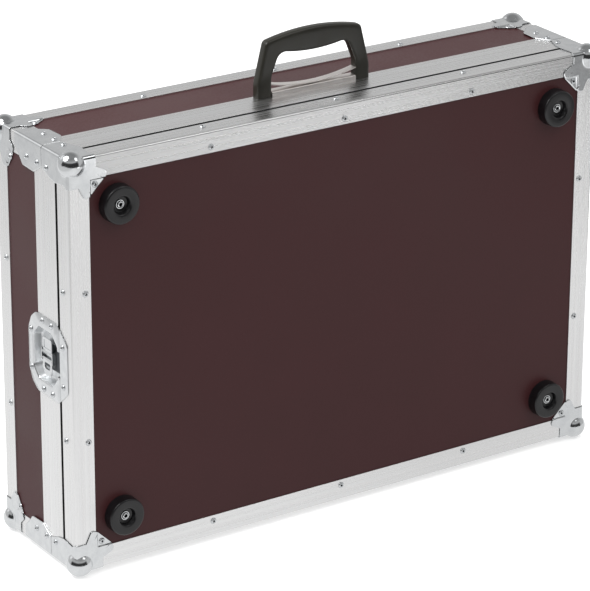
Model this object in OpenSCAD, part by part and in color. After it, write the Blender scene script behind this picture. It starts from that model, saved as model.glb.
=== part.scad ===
// Flight case for guitar pedals, standing on its long side with the handle up.
// A shallow base tray carries four rubber feet. A deep lid lifts straight off it, along +Y,
// once the recessed butterfly latch on each short side is turned.
// X runs along the case, Y from the feet through the case to the back, and Z is up.
// The origin lies under the middle of the whole case, on the surface that it stands on.

/* [Case] */
// Length of the case over its aluminium edges, along X
case_length = 844.5; // [700:0.5:1000]
// Height of the standing case over its aluminium edges, along Z
case_height = 580; // [500:1:700]
// Depth from the front aluminium face to the back one, along Y
case_depth = 189.7; // [170:0.1:260]
// Depth of the base tray, measured to the middle of the parting gap
base_depth = 32.5; // [31:0.1:36]
// Open gap between the edges of the tray and the lid
parting_gap = 5.5; // [4:0.1:6.5]

/* [Boards] */
// Thickness of the phenolic faced plywood
board = 7; // [6.5:0.1:8]

/* [Aluminium] */
// Wall of the extrusions
sheet = 1.5; // [1.2:0.1:2]
// Width of the edge angle's legs
edge_leg = 30; // [28:1:32]
// Width of the lid's closing extrusion, from the parting gap back
closing_leg = 52.1; // [50:0.1:58]
// Rounding along the outer edge of an extrusion
edge_round = 3; // [2:0.5:4]
// Depth of the closing groove that takes the lid's tongue
groove_depth = 6.8; // [6:0.1:8]
// Clearance between the tongue and each side of its groove
tongue_clear = 0.5; // [0.3:0.1:0.8]
// Thickness of the tongue, which stands at the inner side of its groove
tongue_thick = 3; // [2:0.1:4]
// How far the inner flange of a closing extrusion grips its board
board_grip = 8; // [6:1:12]

/* [Corners] */
// Radius of the ball on each corner
ball_r = 17.5; // [15:0.5:20]
// Distance from the ball's centre to each of the three aluminium faces
ball_inset = 9; // [8:0.5:11]
// Clearance between a cranked lobe and the edges of the aluminium beside it
crank_clear = 0.3; // [0.2:0.1:1]
// Thickness of the corner steel
corner_steel = 1.5; // [1.2:0.1:2]
// Clearance under the corner lugs that reach over the lid
lug_clear = 0.3; // [0.3:0.1:0.6]
// How far a base corner's side lug reaches along Y
lug_reach = 66; // [58:1:70]
// Gap between a lug and the brace behind it
brace_gap = 0.5; // [0.3:0.1:1]
// Gap between a brace and the lid corner behind it
brace_back_gap = 4.7; // [3:0.1:8]

/* [Feet] */
// Diameter of a rubber foot at its base
foot_d = 53; // [40:1:60]
// Height of a rubber foot
foot_height = 16; // [12:0.5:20]
// Distance from a foot's centre to the side of the case
foot_from_side = 71; // [66:1:90]
// Distance from a foot's centre to the top or bottom of the case
foot_from_end = 70; // [66:1:90]
// Diameter of the recess for the screw
foot_recess_d = 23; // [18:1:26]
// Depth of that recess
foot_recess_depth = 8; // [5:0.5:10]
// Diameter of the foot screw's shank
foot_screw_d = 5.8; // [4:0.1:6]

/* [Handle] */
// Half the length of the handle over its feet
handle_half = 90; // [85:1:100]
// Height of the handle above the lid
handle_height = 86.5; // [80:0.5:95]
// Thickness of the handle, along Y
handle_thick = 15; // [14:0.1:15.5]
// Width of a handle leg at its foot
handle_leg = 22.5; // [20:0.5:30]
// Diameter of the two handle bolts
handle_bolt_d = 6; // [5:0.5:8]
// Width of the bowed steel strap between the handle's feet
strap_width = 12; // [8:0.5:12]
// Thickness of that strap
strap_thick = 1.5; // [1:0.1:2]
// Height of the strap's ends over the lid
strap_end_z = 17; // [15:0.5:20]
// Height of the strap's middle over the lid
strap_mid_z = 9; // [8.5:0.5:12]
// Height of the folded steel bridge under the strap
bridge_height = 7; // [5:0.5:7.5]
// Steel of that bridge
bridge_steel = 1.2; // [1:0.1:1.5]
// Gap between the bridge and the handle's feet
bridge_gap = 0.1; // [0.1:0.1:0.5]

/* [Latch] */
// Height of the latches' centre above the bottom aluminium face
latch_z = 288.5; // [250:0.5:330]
// Length of the latch along the parting line
latch_length = 112; // [108:1:116]
// Distance from the front aluminium face to the far edge of the latch dish
latch_far = 113; // [111:0.5:115]
// Distance from the front aluminium face to the near edge of the keeper
latch_near = 11.6; // [11:0.1:12.5]
// Where the dish's plate and the keeper's meet, over the gap between tray and lid
latch_split_y = 31.5; // [31:0.1:33]
// Gap between those two plates
latch_split = 0.8; // [0.5:0.1:1.5]
// Steel of the dish and keeper
latch_steel = 1.2; // [1:0.1:1.5]
// How deep the keeper's lip stands in the path of the hook
keeper_lip_depth = 4.3; // [4:0.1:4.4]
// Depth of the dish
dish_depth = 12; // [11.8:0.1:13]
// Distance from the front aluminium face to the turning axis
hub_y = 68.5; // [67:0.5:70]
// How far the latch's cam pulls to one side
cam_throw = 3; // [2:0.5:3]
// Radius of the latch's cam
cam_r = 8; // [7:0.5:9]
// Radius of the latch's shaft
shaft_r = 4; // [3:0.5:5]
// Running clearance of the shaft and of the wing pins
pin_clear = 0.05; // [0.02:0.01:0.1]
// Length of a butterfly wing from the turning axis
wing_reach = 28; // [24:0.5:28]
// Half the width of a butterfly wing
wing_half = 12; // [10:0.5:12]

/* [Rivets] */
// Diameter of a rivet head
rivet_d = 8; // [6:0.5:9]
// Height of a rivet head
rivet_height = 1.7; // [1.2:0.1:2]
// Spacing of the rivets along the case
rivet_pitch = 209; // [180:1:230]

/* [Hidden] */
$fn = 48;
far = 2000;
eps = 0.01;

half_l = case_length / 2;
// How far a ball stands out of the aluminium faces
ball_proud = ball_r - ball_inset;
foot_face_y = sheet - foot_height;
mid_y = (foot_face_y + case_depth + ball_proud) / 2;

// Front to back stations of the shell
base_rim_y = base_depth - parting_gap / 2;
lid_rim_y = base_depth + parting_gap / 2;
closing_back_y = lid_rim_y + closing_leg;
back_inner_y = case_depth - sheet - board;
// The back angle's side leg is cut back for the depth angles
edge_back_y = case_depth - edge_leg + crank_clear + 0.7;
board_in = sheet + board;
flange_in = board_in + sheet;
groove_floor_y = base_rim_y - groove_depth;

steel = [0.74, 0.76, 0.79];
alu = [0.80, 0.80, 0.81];
ply = [0.27, 0.17, 0.17];
rubber = [0.10, 0.10, 0.10];
moulded = [0.13, 0.13, 0.12];

// Point lists with rounded corners

function unit(v) = v / norm(v);
function corner_arc(before, at, after, r, steps) =
    let (
        a = unit(before - at),
        b = unit(after - at),
        half = acos(a * b) / 2,
        centre = at + unit(a + b) * r / sin(half),
        start = at + a * r / tan(half) - centre,
        finish = at + b * r / tan(half) - centre,
        from = atan2(start.y, start.x),
        sweep = (atan2(finish.y, finish.x) - from + 540) % 360 - 180
    )
    [for (i = [0:steps]) centre + r * [cos(from + sweep * i / steps), sin(from + sweep * i / steps)]];
// Rounds each corner of a list of [x, y, radius], and leaves those of radius 0 sharp
function rounded(pts, steps = 5) =
    let (n = len(pts), p = [for (q = pts) [q[0], q[1]]])
    [for (i = [0:n - 1]) each (
        pts[i][2] == 0 ? [p[i]] : corner_arc(p[(i + n - 1) % n], p[i], p[(i + 1) % n], pts[i][2], steps)
    )];
// Mirror image of a list of [x, y, radius] in y, in reverse order, so that an outline closes
function mirrored_back(pts) = [for (i = [len(pts) - 1:-1:0]) [pts[i][0], -pts[i][1], pts[i][2]]];

// Placing

// From case coordinates (front face at y = 0, bottom face at z = 0) to the part's own frame
module place() {
    translate([0, -mid_y, ball_proud]) children();
}

// Repeats for one of the four sides what is drawn at the bottom side: x along it, y back, z inward
module on_side(side) {
    if (side == "bottom") children();
    if (side == "top") translate([0, 0, case_height]) mirror([0, 0, 1]) children();
    if (side == "left") translate([-half_l, 0, case_height / 2]) mirror([1, 0, -1]) children();
    if (side == "right") mirror([1, 0, 0]) translate([-half_l, 0, case_height / 2]) mirror([1, 0, -1]) children();
}

function side_length(side) = (side == "bottom" || side == "top") ? case_length : case_height;

// Puts what is drawn at the origin's octant into one corner of the front or back face
module on_corner(vertical, horizontal, back = false) {
    flip_x = horizontal == "right" ? 1 : 0;
    flip_z = vertical == "top" ? 1 : 0;
    translate([flip_x == 1 ? half_l : -half_l, back ? case_depth : 0, flip_z == 1 ? case_height : 0])
        mirror([flip_x, 0, 0]) mirror([0, back ? 1 : 0, 0]) mirror([0, 0, flip_z]) children();
}

// A latch is drawn with x inward from the outer face, y as in the case and z from its centre
module on_latch(side) {
    mirror([side == "right" ? 1 : 0, 0, 0]) translate([-half_l, 0, latch_z]) children();
}

// Extrudes a (y, z) outline along x from x0 to x1
module slab_x(x0, x1) {
    translate([x0, 0, 0]) rotate([90, 0, 90]) linear_extrude(x1 - x0) children();
}

// Extrudes an (x, z) outline along y from y0 to y1
module slab_y(y0, y1) {
    translate([0, y1, 0]) rotate([90, 0, 0]) linear_extrude(y1 - y0) children();
}

// Extruded sections, drawn as (depth from the front, distance in from the side)

module box2(v0, v1, u0, u1) {
    translate([v0, u0]) square([v1 - v0, u1 - u0]);
}

// What rounding takes off the outer corner of a section at (v, 0)
module edge_cut(r) {
    difference() {
        translate([-eps, -eps]) square(r + eps);
        translate([r, r]) circle(r);
    }
}

// Edge and closing extrusion of the base in one: angle, board channel and groove
module base_section() {
    difference() {
        union() {
            box2(0, sheet, 0, edge_leg);
            box2(0, base_rim_y, 0, sheet);
            box2(groove_floor_y - sheet, groove_floor_y, 0, flange_in);
            box2(groove_floor_y - sheet - board_grip, base_rim_y, board_in, flange_in);
        }
        edge_cut(edge_round);
    }
}

// Closing extrusion of the lid: wide outer leg, board channel and tongue
module closing_section() {
    tongue_u1 = board_in - tongue_clear;
    tongue_tip = groove_floor_y + tongue_clear;
    box2(lid_rim_y, closing_back_y, 0, sheet);
    box2(lid_rim_y, lid_rim_y + sheet, 0, flange_in);
    box2(lid_rim_y, lid_rim_y + sheet + board_grip, board_in, flange_in);
    box2(tongue_tip, lid_rim_y + eps, tongue_u1 - tongue_thick, tongue_u1);
}

// Edge angle around the back of the lid
module back_section() {
    difference() {
        union() {
            box2(case_depth - sheet, case_depth, 0, edge_leg);
            box2(edge_back_y, case_depth, 0, sheet);
        }
        translate([case_depth, 0]) mirror([1, 0]) edge_cut(edge_round);
    }
}

// One side's extrusion, mitred at both ends
module mitred(length) {
    difference() {
        translate([-length / 2, 0, 0]) rotate([90, 0, 90]) linear_extrude(length) children();
        for (end = [0, 1]) mirror([end, 0, 0])
            translate([length / 2, 0, 0]) rotate([0, -45, 0])
                translate([0, -far / 4, -far / 4]) cube([far / 4, far, far / 2]);
    }
}

// Openings that the latch needs in the shell, in the latch's own coordinates
dish_mouth = [38.5, 101, 37];
dish_cut_half = dish_mouth[2] + latch_steel;
keeper_half = 20;
keeper_pocket_y = 14.6;
keeper_cut_half = keeper_half + latch_steel;
window_clear = 0.6;
// Where the walls of the dish begin
dish_front_y = dish_mouth[0] - latch_steel;

// Room for the dish, from y0 on
module dish_cutout(y0) {
    translate([-eps, y0, -dish_cut_half])
        cube([dish_depth + 2, dish_mouth[1] + latch_steel - y0, 2 * dish_cut_half]);
}

// Window in the closing extrusion that the hook reaches out of
module hook_window() {
    half = keeper_cut_half + window_clear;
    translate([-eps, groove_floor_y, -half])
        cube([hook_bottom + hook_slot_clear, dish_front_y - groove_floor_y + eps, 2 * half]);
}

module keeper_cutout() {
    translate([-eps, keeper_pocket_y - latch_steel, -keeper_cut_half])
        cube([flange_in + 2, base_rim_y - keeper_pocket_y + latch_steel + 1, 2 * keeper_cut_half]);
}

// Base tray

module base_panel() {
    color(ply) difference() {
        translate([-half_l + sheet, sheet, sheet])
            cube([case_length - 2 * sheet, board, case_height - 2 * sheet]);
        foot_places() translate([0, 0, -board - sheet + 1]) cylinder(d = foot_screw_d + 2 * pin_clear, h = board + 2);
    }
}

// Boards that stand on the panel; those at the sides fit between the other two
module base_rim(side) {
    inset = (side == "bottom" || side == "top") ? sheet : board_in;
    length = side_length(side) - 2 * inset;
    color(ply) difference() {
        on_side(side) translate([-length / 2, board_in, sheet])
            cube([length, groove_floor_y - sheet - board_in, board]);
        if (side == "left" || side == "right") on_latch(side) keeper_cutout();
    }
}

module base_edge(side) {
    color(alu) difference() {
        on_side(side) mitred(side_length(side)) base_section();
        if (side == "left" || side == "right") on_latch(side) keeper_cutout();
    }
}

plate_arm = 40;
arm_width = 14.5;
lobe_in = 27;
lobe_long = 57;
lobe_short = 49;
// Outline of a corner plate: two arms along the edges, and between them a lobe that
// reaches a along the first edge and b along the second
function lobe_outline(a, b) = rounded([
    [-corner_steel, -corner_steel, 0], [plate_arm, -corner_steel, 0], [plate_arm, arm_width, 1.5],
    [a, lobe_in - 4, 5], [a - 3, lobe_in + 5, 5], [lobe_in + 5, b - 3, 5], [lobe_in - 4, b, 5],
    [arm_width, plate_arm, 1.5], [-corner_steel, plate_arm, 0]
]);
// Outline of the lug that reaches along y over the parting line
function lug_outline() = rounded([
    [-corner_steel, -corner_steel, 0], [lug_reach, -corner_steel, 0], [lug_reach, 28, 1],
    [lug_reach - 19.5, 36, 8], [31, 39, 8], [9, 36, 4], [4, plate_arm, 1], [-corner_steel, plate_arm, 0]
]);

// Rounds the outer edges where the plates of a corner meet
module soft_edge(length) {
    r = edge_round + corner_steel;
    translate([-corner_steel, -corner_steel, -corner_steel - eps]) linear_extrude(length) difference() {
        translate([-eps, -eps]) square(r + eps);
        translate([r, r]) circle(r);
    }
}

// What lies on the board beside the aluminium, from a height of v0 to v1
module over_board(inset, v0, v1) {
    from = edge_leg + crank_clear + inset;
    translate([from, v0, from]) cube([far, v1 - v0, far]);
}

// The part of a lobe that steps down from the aluminium to the board, with its riser
module crank(outline) {
    difference() {
        intersection() {
            slab_y(-corner_steel, sheet) polygon(outline);
            over_board(0, -corner_steel, sheet);
        }
        over_board(corner_steel, -corner_steel - 1, sheet - corner_steel);
    }
}

// A plate on the front face, open where its lobe steps down
module plate(outline, cranked) {
    difference() {
        slab_y(-corner_steel, 0) polygon(outline);
        if (cranked) over_board(0, -corner_steel - 1, 1);
    }
}

// Turns what is drawn on the front face onto the left face
module to_left() {
    mirror([1, -1, 0]) children();
}

// Turns it onto the bottom face
module to_bottom() {
    mirror([1, 0, -1]) to_left() children();
}

// Three plates and a hollow ball; side_outline is for the two faces beside the front one
module corner(side_outline, side_cranked) {
    front_outline = lobe_outline(lobe_long, lobe_long);
    difference() {
        union() {
            plate(front_outline, true);
            to_left() plate(side_outline, side_cranked);
            to_bottom() plate(side_outline, side_cranked);
            translate(ball_inset * [1, 1, 1]) sphere(ball_r, $fn = 96);
        }
        difference() {
            union() {
                soft_edge(lobe_long * 2);
                mirror([0, 1, -1]) soft_edge(lobe_long * 2);
                mirror([1, 0, -1]) soft_edge(lobe_long * 2);
            }
            translate(ball_inset * [1, 1, 1]) sphere(ball_r, $fn = 96);
        }
        translate(ball_inset * [1, 1, 1]) sphere(ball_r - corner_steel, $fn = 96);
        cube(far);
    }
    crank(front_outline);
    if (side_cranked) {
        to_left() crank(side_outline);
        to_bottom() crank(side_outline);
    }
}

module base_corner(vertical, horizontal) {
    color(steel) on_corner(vertical, horizontal) difference() {
        corner(lug_outline(), false);
        translate([-lug_clear, base_rim_y, -lug_clear]) cube(far);
    }
}

module foot_places() {
    for (sx = [-1, 1], end = [0, 1])
        translate([sx * (half_l - foot_from_side), 0, end == 0 ? foot_from_end : case_height - foot_from_end])
            rotate([90, 0, 0]) children();
}

// Turned section of the moulded foot, seated on the panel at z = -sheet
module foot_body() {
    r = foot_d / 2;
    recess = foot_recess_d / 2;
    top = foot_height - sheet;
    rotate_extrude() difference() {
        polygon(concat(
            [[0, -sheet], [r, -sheet], [r, -sheet + 2]],
            corner_arc([r, 0], [r - 0.8, top], [0, top], 2.5, 5),
            [[0, top]]
        ));
        polygon([[0, top - foot_recess_depth], [recess - 1, top - foot_recess_depth], [recess, top - 2],
            [recess + 1.5, top + 1], [0, top + 1]]);
        translate([0, -sheet - 1]) square([foot_screw_d / 2 + pin_clear, foot_height]);
    }
}

module foot(vertical, horizontal) {
    sx = horizontal == "left" ? -1 : 1;
    z = vertical == "bottom" ? foot_from_end : case_height - foot_from_end;
    color(rubber) translate([sx * (half_l - foot_from_side), 0, z]) rotate([90, 0, 0]) foot_body();
}

module foot_screws() {
    seat = foot_height - sheet - foot_recess_depth;
    shank = seat + board_in - 1.5;
    color(steel) foot_places() difference() {
        union() {
            translate([0, 0, seat]) cylinder(r = 6.2, h = 1);
            translate([0, 0, seat + 1]) intersection() {
                cylinder(r = 5, h = 2.8);
                translate([0, 0, -4.2]) sphere(7);
            }
            translate([0, 0, seat - shank]) cylinder(d = foot_screw_d, h = shank + 1);
        }
        translate([0, 0, seat + 2]) cylinder(r = 2.2, h = 3, $fn = 6);
    }
}

// Domed head of a blind rivet, standing on z = 0
module rivet() {
    r = rivet_d / 2;
    ball = (r * r + rivet_height * rivet_height) / (2 * rivet_height);
    intersection() {
        translate([0, 0, rivet_height - ball]) sphere(ball);
        cylinder(r = r, h = rivet_height);
    }
}

// A rivet on the outer face of a side, at (along, back)
module side_rivet(along, back, lift = 0) {
    translate([along, back, -lift]) mirror([0, 0, 1]) rivet();
}

// The rivet of a lobe that is stepped down, and how deep it stands
lobe_rivet = 38.5;
lobe_face = sheet - corner_steel;
lug_rivet = [54, 25];
module base_rivets() {
    front = (edge_leg + sheet) / 2 + 6;
    color(steel) {
        for (x = [-1, 0, 1], z = [front, case_height - front])
            translate([x * rivet_pitch, 0, z]) rotate([90, 0, 0]) rivet();
        for (x = [-half_l + front, half_l - front], z = [-1, 1])
            translate([x, 0, case_height / 2 + z * rivet_pitch / 2]) rotate([90, 0, 0]) rivet();
        for (side = ["bottom", "top"]) on_side(side)
            for (x = [-1, 0, 1]) side_rivet(x * rivet_pitch, front - 1);
        for (side = ["left", "right"]) on_side(side)
            for (s = [-1, 1]) side_rivet(s * rivet_pitch / 2, front - 1);
        for (v = ["bottom", "top"], h = ["left", "right"]) on_corner(v, h) {
            translate([lobe_rivet, lobe_face, lobe_rivet]) rotate([90, 0, 0]) rivet();
            translate([-corner_steel, lug_rivet[0], lug_rivet[1]]) rotate([0, -90, 0]) rivet();
            translate([lug_rivet[1], lug_rivet[0], -corner_steel]) mirror([0, 0, 1]) rivet();
        }
        for (side = ["left", "right"]) on_latch(side)
            for (z = [-1, 1]) translate([-latch_steel, 23.5, z * 28]) rotate([0, -90, 0]) rivet();
    }
}

// Lid

module lid_back_panel() {
    color(ply) translate([-half_l + sheet, back_inner_y, sheet])
        cube([case_length - 2 * sheet, board, case_height - 2 * sheet]);
}

module lid_wall(side) {
    inset = (side == "bottom" || side == "top") ? sheet : board_in;
    length = side_length(side) - 2 * inset;
    front = lid_rim_y + sheet;
    color(ply) difference() {
        on_side(side) translate([-length / 2, front, sheet]) cube([length, back_inner_y - front, board]);
        if (side == "left" || side == "right") on_latch(side) dish_cutout(lid_rim_y);
        if (side == "top") handle_bolt_holes();
    }
}

module lid_closing(side) {
    color(alu) difference() {
        on_side(side) mitred(side_length(side)) closing_section();
        if (side == "left" || side == "right") on_latch(side) {
            dish_cutout(dish_front_y);
            hook_window();
        }
        if (side == "top") handle_bolt_holes();
    }
}

module lid_edge(side) {
    color(alu) on_side(side) mitred(side_length(side)) back_section();
}

// Angles along the four depth edges, between the closing and the back extrusions
module lid_depth_angles() {
    color(alu) for (v = ["bottom", "top"], h = ["left", "right"]) on_corner(v, h)
        slab_y(closing_back_y, edge_back_y) difference() {
            union() {
                square([edge_leg, sheet]);
                square([sheet, edge_leg]);
            }
            edge_cut(edge_round);
        }
}

module lid_corner(vertical, horizontal) {
    color(steel) on_corner(vertical, horizontal, true) corner(lobe_outline(lobe_short, lobe_long), true);
}

// Folded plate over a depth edge, behind the lug of the base corner
brace_y = [lug_reach + brace_gap, case_depth - lobe_short - brace_back_gap];
module lid_brace(vertical, horizontal) {
    y0 = brace_y[0];
    y1 = brace_y[1];
    side = rounded([
        [y0, -corner_steel, 0], [y1, -corner_steel, 0], [y1, 18, 3], [y1 - 11.5, 29, 4],
        [y1 - 20, 39, 6], [y0 + 20.5, 40.5, 6], [y0, 28, 1]
    ]);
    color(steel) on_corner(vertical, horizontal) difference() {
        union() {
            slab_x(-corner_steel, 0) polygon(side);
            mirror([1, 0, -1]) slab_x(-corner_steel, 0) polygon(side);
        }
        mirror([0, 1, -1]) soft_edge(lobe_long * 4);
    }
}

brace_rivets = [for (f = [0.165, 0.555]) [brace_y[0] + f * (brace_y[1] - brace_y[0]), 25]];
module lid_rivets() {
    back = case_depth - (edge_leg + sheet) / 2 - 4;
    in_edge = (edge_leg + sheet) / 2 + 6;
    color(steel) {
        for (x = [-1, 0, 1], z = [in_edge, case_height - in_edge])
            translate([x * rivet_pitch, case_depth, z]) rotate([-90, 0, 0]) rivet();
        for (x = [-half_l + in_edge, half_l - in_edge], z = [-1, 1])
            translate([x, case_depth, case_height / 2 + z * rivet_pitch / 2]) rotate([-90, 0, 0]) rivet();
        for (side = ["bottom", "top"]) on_side(side)
            for (x = [-1, 0, 1]) side_rivet(x * rivet_pitch, back);
        for (side = ["left", "right"]) on_side(side)
            for (s = [-1, 1]) side_rivet(s * rivet_pitch / 2, back);
        for (v = ["bottom", "top"], h = ["left", "right"]) {
            on_corner(v, h, true) {
                translate([lobe_rivet, lobe_face, lobe_rivet]) rotate([90, 0, 0]) rivet();
                translate([lobe_face, lobe_rivet, lobe_rivet]) rotate([0, -90, 0]) rivet();
                translate([lobe_rivet, lobe_rivet, lobe_face]) mirror([0, 0, 1]) rivet();
            }
            on_corner(v, h) for (p = brace_rivets) {
                translate([-corner_steel, p[0], p[1]]) rotate([0, -90, 0]) rivet();
                translate([p[1], p[0], -corner_steel]) mirror([0, 0, 1]) rivet();
            }
        }
        for (side = ["left", "right"]) on_latch(side)
            for (p = [[106, 27], [75.5, 48.5], [52, 48.5]], z = [-1, 1])
                translate([-latch_steel, p[0], z * p[1]]) rotate([0, -90, 0]) rivet();
    }
}

// Handle, drawn above z = 0 on the lid

handle_y = closing_back_y - handle_thick / 2 - 0.2;
handle_bolt_x = handle_half - 11;
// Radius of an arc with a given half chord and rise
function arc_radius(half, rise) = (half * half + rise * rise) / (2 * rise);
finger_half = handle_half - handle_leg;
// How far the legs lean in, how far the top arches up, and the grip's thickness
lean = 14;
shoulder = 9.5;
grip_thick = 32;
// Half the width of the grip's belly over the fingers, and how far it bulges down
belly_half = 46;
belly_rise = 4.5;
strap_bow = strap_end_z - strap_mid_z;

module on_handle() {
    translate([0, handle_y, case_height]) children();
}

module handle_bolt_holes() {
    on_handle() for (sx = [-1, 1]) translate([sx * handle_bolt_x, 0, -board_in - 1])
        cylinder(d = handle_bolt_d + 0.4, h = board_in + 2);
}

module strap_band(clear) {
    r = arc_radius(finger_half, strap_bow);
    difference() {
        translate([0, strap_mid_z + r]) circle(r + strap_thick / 2 + clear, $fn = 200);
        translate([0, strap_mid_z + r]) circle(r - strap_thick / 2 - clear, $fn = 200);
    }
}

strap_half = finger_half + 7;
module handle_strap() {
    color(steel) on_handle() intersection() {
        slab_y(-strap_width / 2, strap_width / 2) strap_band(0);
        translate([-strap_half, -far / 2, 0]) cube([2 * strap_half, far, 2 * strap_end_z]);
    }
}

// Side view of the handle: legs that lean in to an arched top
module handle_outline() {
    top_half = handle_half - lean;
    top_r = arc_radius(top_half, shoulder);
    top_angle = asin(top_half / top_r);
    leg = [[handle_half, 0, 0], [handle_half, 20, 30]];
    steps = 16;
    arch = [for (i = [0:steps]) let (a = top_angle * (1 - 2 * i / steps))
        [top_r * sin(a), handle_height - top_r + top_r * cos(a), i == 0 || i == steps ? 7 : 0]];
    polygon(rounded(concat(leg, arch, [for (i = [1, 0]) [-leg[i][0], leg[i][1], leg[i][2]]])));
}

module finger_outline() {
    under = handle_height - grip_thick;
    belly_r = arc_radius(belly_half, belly_rise);
    difference() {
        polygon(rounded([
            [-finger_half, -1, 0], [finger_half, -1, 0], [finger_half, 28, 30],
            [finger_half - 13, under + 5, 14], [-finger_half + 13, under + 5, 14], [-finger_half, 28, 30]
        ], 8));
        translate([0, under + belly_r]) circle(belly_r, $fn = 160);
    }
}

// End view of the handle: a bar with fully rounded top
module handle_end_outline() {
    w = handle_thick / 2;
    polygon(rounded([[-w, 0, 0], [w, 0, 0], [w, handle_height, 5], [-w, handle_height, 5]]));
}

// Plan of the handle with rounded ends
module handle_plan() {
    w = handle_thick / 2;
    polygon(rounded([
        [-handle_half, -w, 4], [handle_half, -w, 4], [handle_half, w, 4], [-handle_half, w, 4]
    ]));
}

module handle_grip() {
    color(moulded) on_handle() difference() {
        intersection() {
            slab_y(-handle_thick / 2, handle_thick / 2) handle_outline();
            slab_x(-handle_half, handle_half) handle_end_outline();
            linear_extrude(handle_height + 1) handle_plan();
        }
        slab_y(-handle_thick, handle_thick) finger_outline();
        intersection() {
            slab_y(-strap_width / 2 - pin_clear, strap_width / 2 + pin_clear) strap_band(pin_clear);
            translate([-strap_half - pin_clear, -far / 2, 0])
                cube([2 * (strap_half + pin_clear), far, 2 * strap_end_z]);
        }
        for (sx = [-1, 1]) translate([sx * handle_bolt_x, 0, -1])
            cylinder(d = handle_bolt_d + 2 * pin_clear, h = 26);
    }
}

// Steel channel that stands on the lid between the handle's feet
module handle_bridge() {
    half = finger_half - bridge_gap;
    w = handle_thick / 2;
    color(steel) on_handle() difference() {
        slab_x(-half, half) polygon(rounded([
            [-w, 0, 0], [w, 0, 0], [w, bridge_height, 2], [-w, bridge_height, 2]
        ]));
        slab_x(-half - 1, half + 1) translate([bridge_steel - w, -1])
            square([handle_thick - 2 * bridge_steel, bridge_height - bridge_steel + 1]);
    }
}

// Bolts from inside the lid, each with a washer
module handle_bolts() {
    color(steel) on_handle() for (sx = [-1, 1]) translate([sx * handle_bolt_x, 0, 0]) {
        translate([0, 0, -board_in - 1.2]) cylinder(r = 8, h = 1.2);
        translate([0, 0, -board_in - 1.2 - 4]) cylinder(r = 5.6, h = 4, $fn = 6);
        translate([0, 0, -board_in - 1.2]) cylinder(d = handle_bolt_d, h = board_in + 22);
    }
}

// Latch

// Depths below the outer face of the parts that turn
wing_axis_x = 2.3;
wing_axis_z = 5;
hub_top = 4.5;
hub_bottom = 5.7;
hook_top = 6.2;
hook_bottom = 8.2;
cam_bottom = 8.7;
hook_half = 18;
hook_slot_clear = 0.5;
keeper_lip = 3.2;

// Eight-sided outline from y0 to y1 and z to either side, with cut corners
function octagon(y0, y1, z, cut) = [
    [y0 + cut, -z], [y1 - cut, -z], [y1, cut - z], [y1, z - cut],
    [y1 - cut, z], [y0 + cut, z], [y0, z - cut], [y0, cut - z]
];

// Sloped tub between the mouth at x = top and a smaller floor at x = bottom
module tub(top, bottom, grow) {
    m = dish_mouth;
    slope = 4;
    hull() {
        slab_x(top, top + eps) polygon(octagon(m[0] - grow, m[1] + grow, m[2] + grow, 14));
        slab_x(bottom - eps, bottom)
            polygon(octagon(m[0] + slope - grow, m[1] - slope + grow, m[2] - slope + grow, 12));
    }
}

module latch_dish(side) {
    half = latch_length / 2;
    plate_y = latch_split_y + latch_split / 2;
    edge = [
        [plate_y, -half + 4, 0], [plate_y + 5, -half, 3], [latch_far - 21, -half, 8], [latch_far, -half + 27, 8]
    ];
    color(steel) on_latch(side) difference() {
        union() {
            slab_x(-latch_steel, 0) polygon(rounded(concat(edge, mirrored_back(edge))));
            tub(0, dish_depth + latch_steel, latch_steel);
        }
        tub(-latch_steel, dish_depth, 0);
        translate([-latch_steel - 1, plate_y - 1, -hook_half - hook_slot_clear])
            cube([latch_steel + 1 + hook_bottom + hook_slot_clear, dish_mouth[0] + 9 - plate_y,
                2 * (hook_half + hook_slot_clear)]);
        translate([dish_depth - 1, hub_y, 0]) rotate([0, 90, 0])
            cylinder(r = shaft_r + pin_clear, h = latch_steel + 2);
    }
}

module keeper(side) {
    half = latch_length / 2;
    edge = [[latch_split_y - latch_split / 2, half - 4.5, 0], [latch_near, half - 22, 8]];
    color(steel) on_latch(side) {
        slab_x(-latch_steel, 0) polygon(rounded(concat(edge, mirrored_back(edge))));
        difference() {
            translate([0, keeper_pocket_y - latch_steel, -keeper_cut_half])
                cube([flange_in, base_rim_y - keeper_pocket_y + latch_steel, 2 * keeper_cut_half]);
            translate([0, keeper_pocket_y, -keeper_half])
                cube([flange_in - latch_steel, base_rim_y, 2 * keeper_half]);
        }
        translate([0, base_rim_y - keeper_lip, -keeper_half])
            cube([keeper_lip_depth, keeper_lip, 2 * keeper_half]);
    }
}

// Turning part: a plate with two ears, the cam under it, and the shaft through the dish
module latch_hub(side) {
    ear_y = wing_half + 1.2;
    color(steel) on_latch(side) translate([0, hub_y, 0]) {
        slab_x(hub_top, hub_bottom) polygon(rounded([
            [-ear_y - 1.8, -8.5, 2], [ear_y + 1.8, -8.5, 2], [ear_y + 1.8, 8.5, 2], [-ear_y - 1.8, 8.5, 2]
        ]));
        for (s = [0, 1]) mirror([0, s, 0]) difference() {
            translate([0.4, ear_y, -8.5]) cube([hub_top - 0.4, 1.8, 17]);
            for (z = [-1, 1]) translate([wing_axis_x, 0, z * wing_axis_z]) rotate([-90, 0, 0])
                cylinder(r = 1.2 + pin_clear, h = 20);
        }
        translate([hub_bottom, cam_throw, 0]) rotate([0, 90, 0]) cylinder(r = cam_r, h = cam_bottom - hub_bottom);
        translate([cam_bottom, 0, 0]) rotate([0, 90, 0])
            cylinder(r = shaft_r, h = dish_depth + latch_steel + 0.3 - cam_bottom);
        translate([dish_depth + latch_steel + 0.3, 0, 0]) rotate([0, 90, 0]) cylinder(r = 7, h = 1.2);
    }
}

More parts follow.
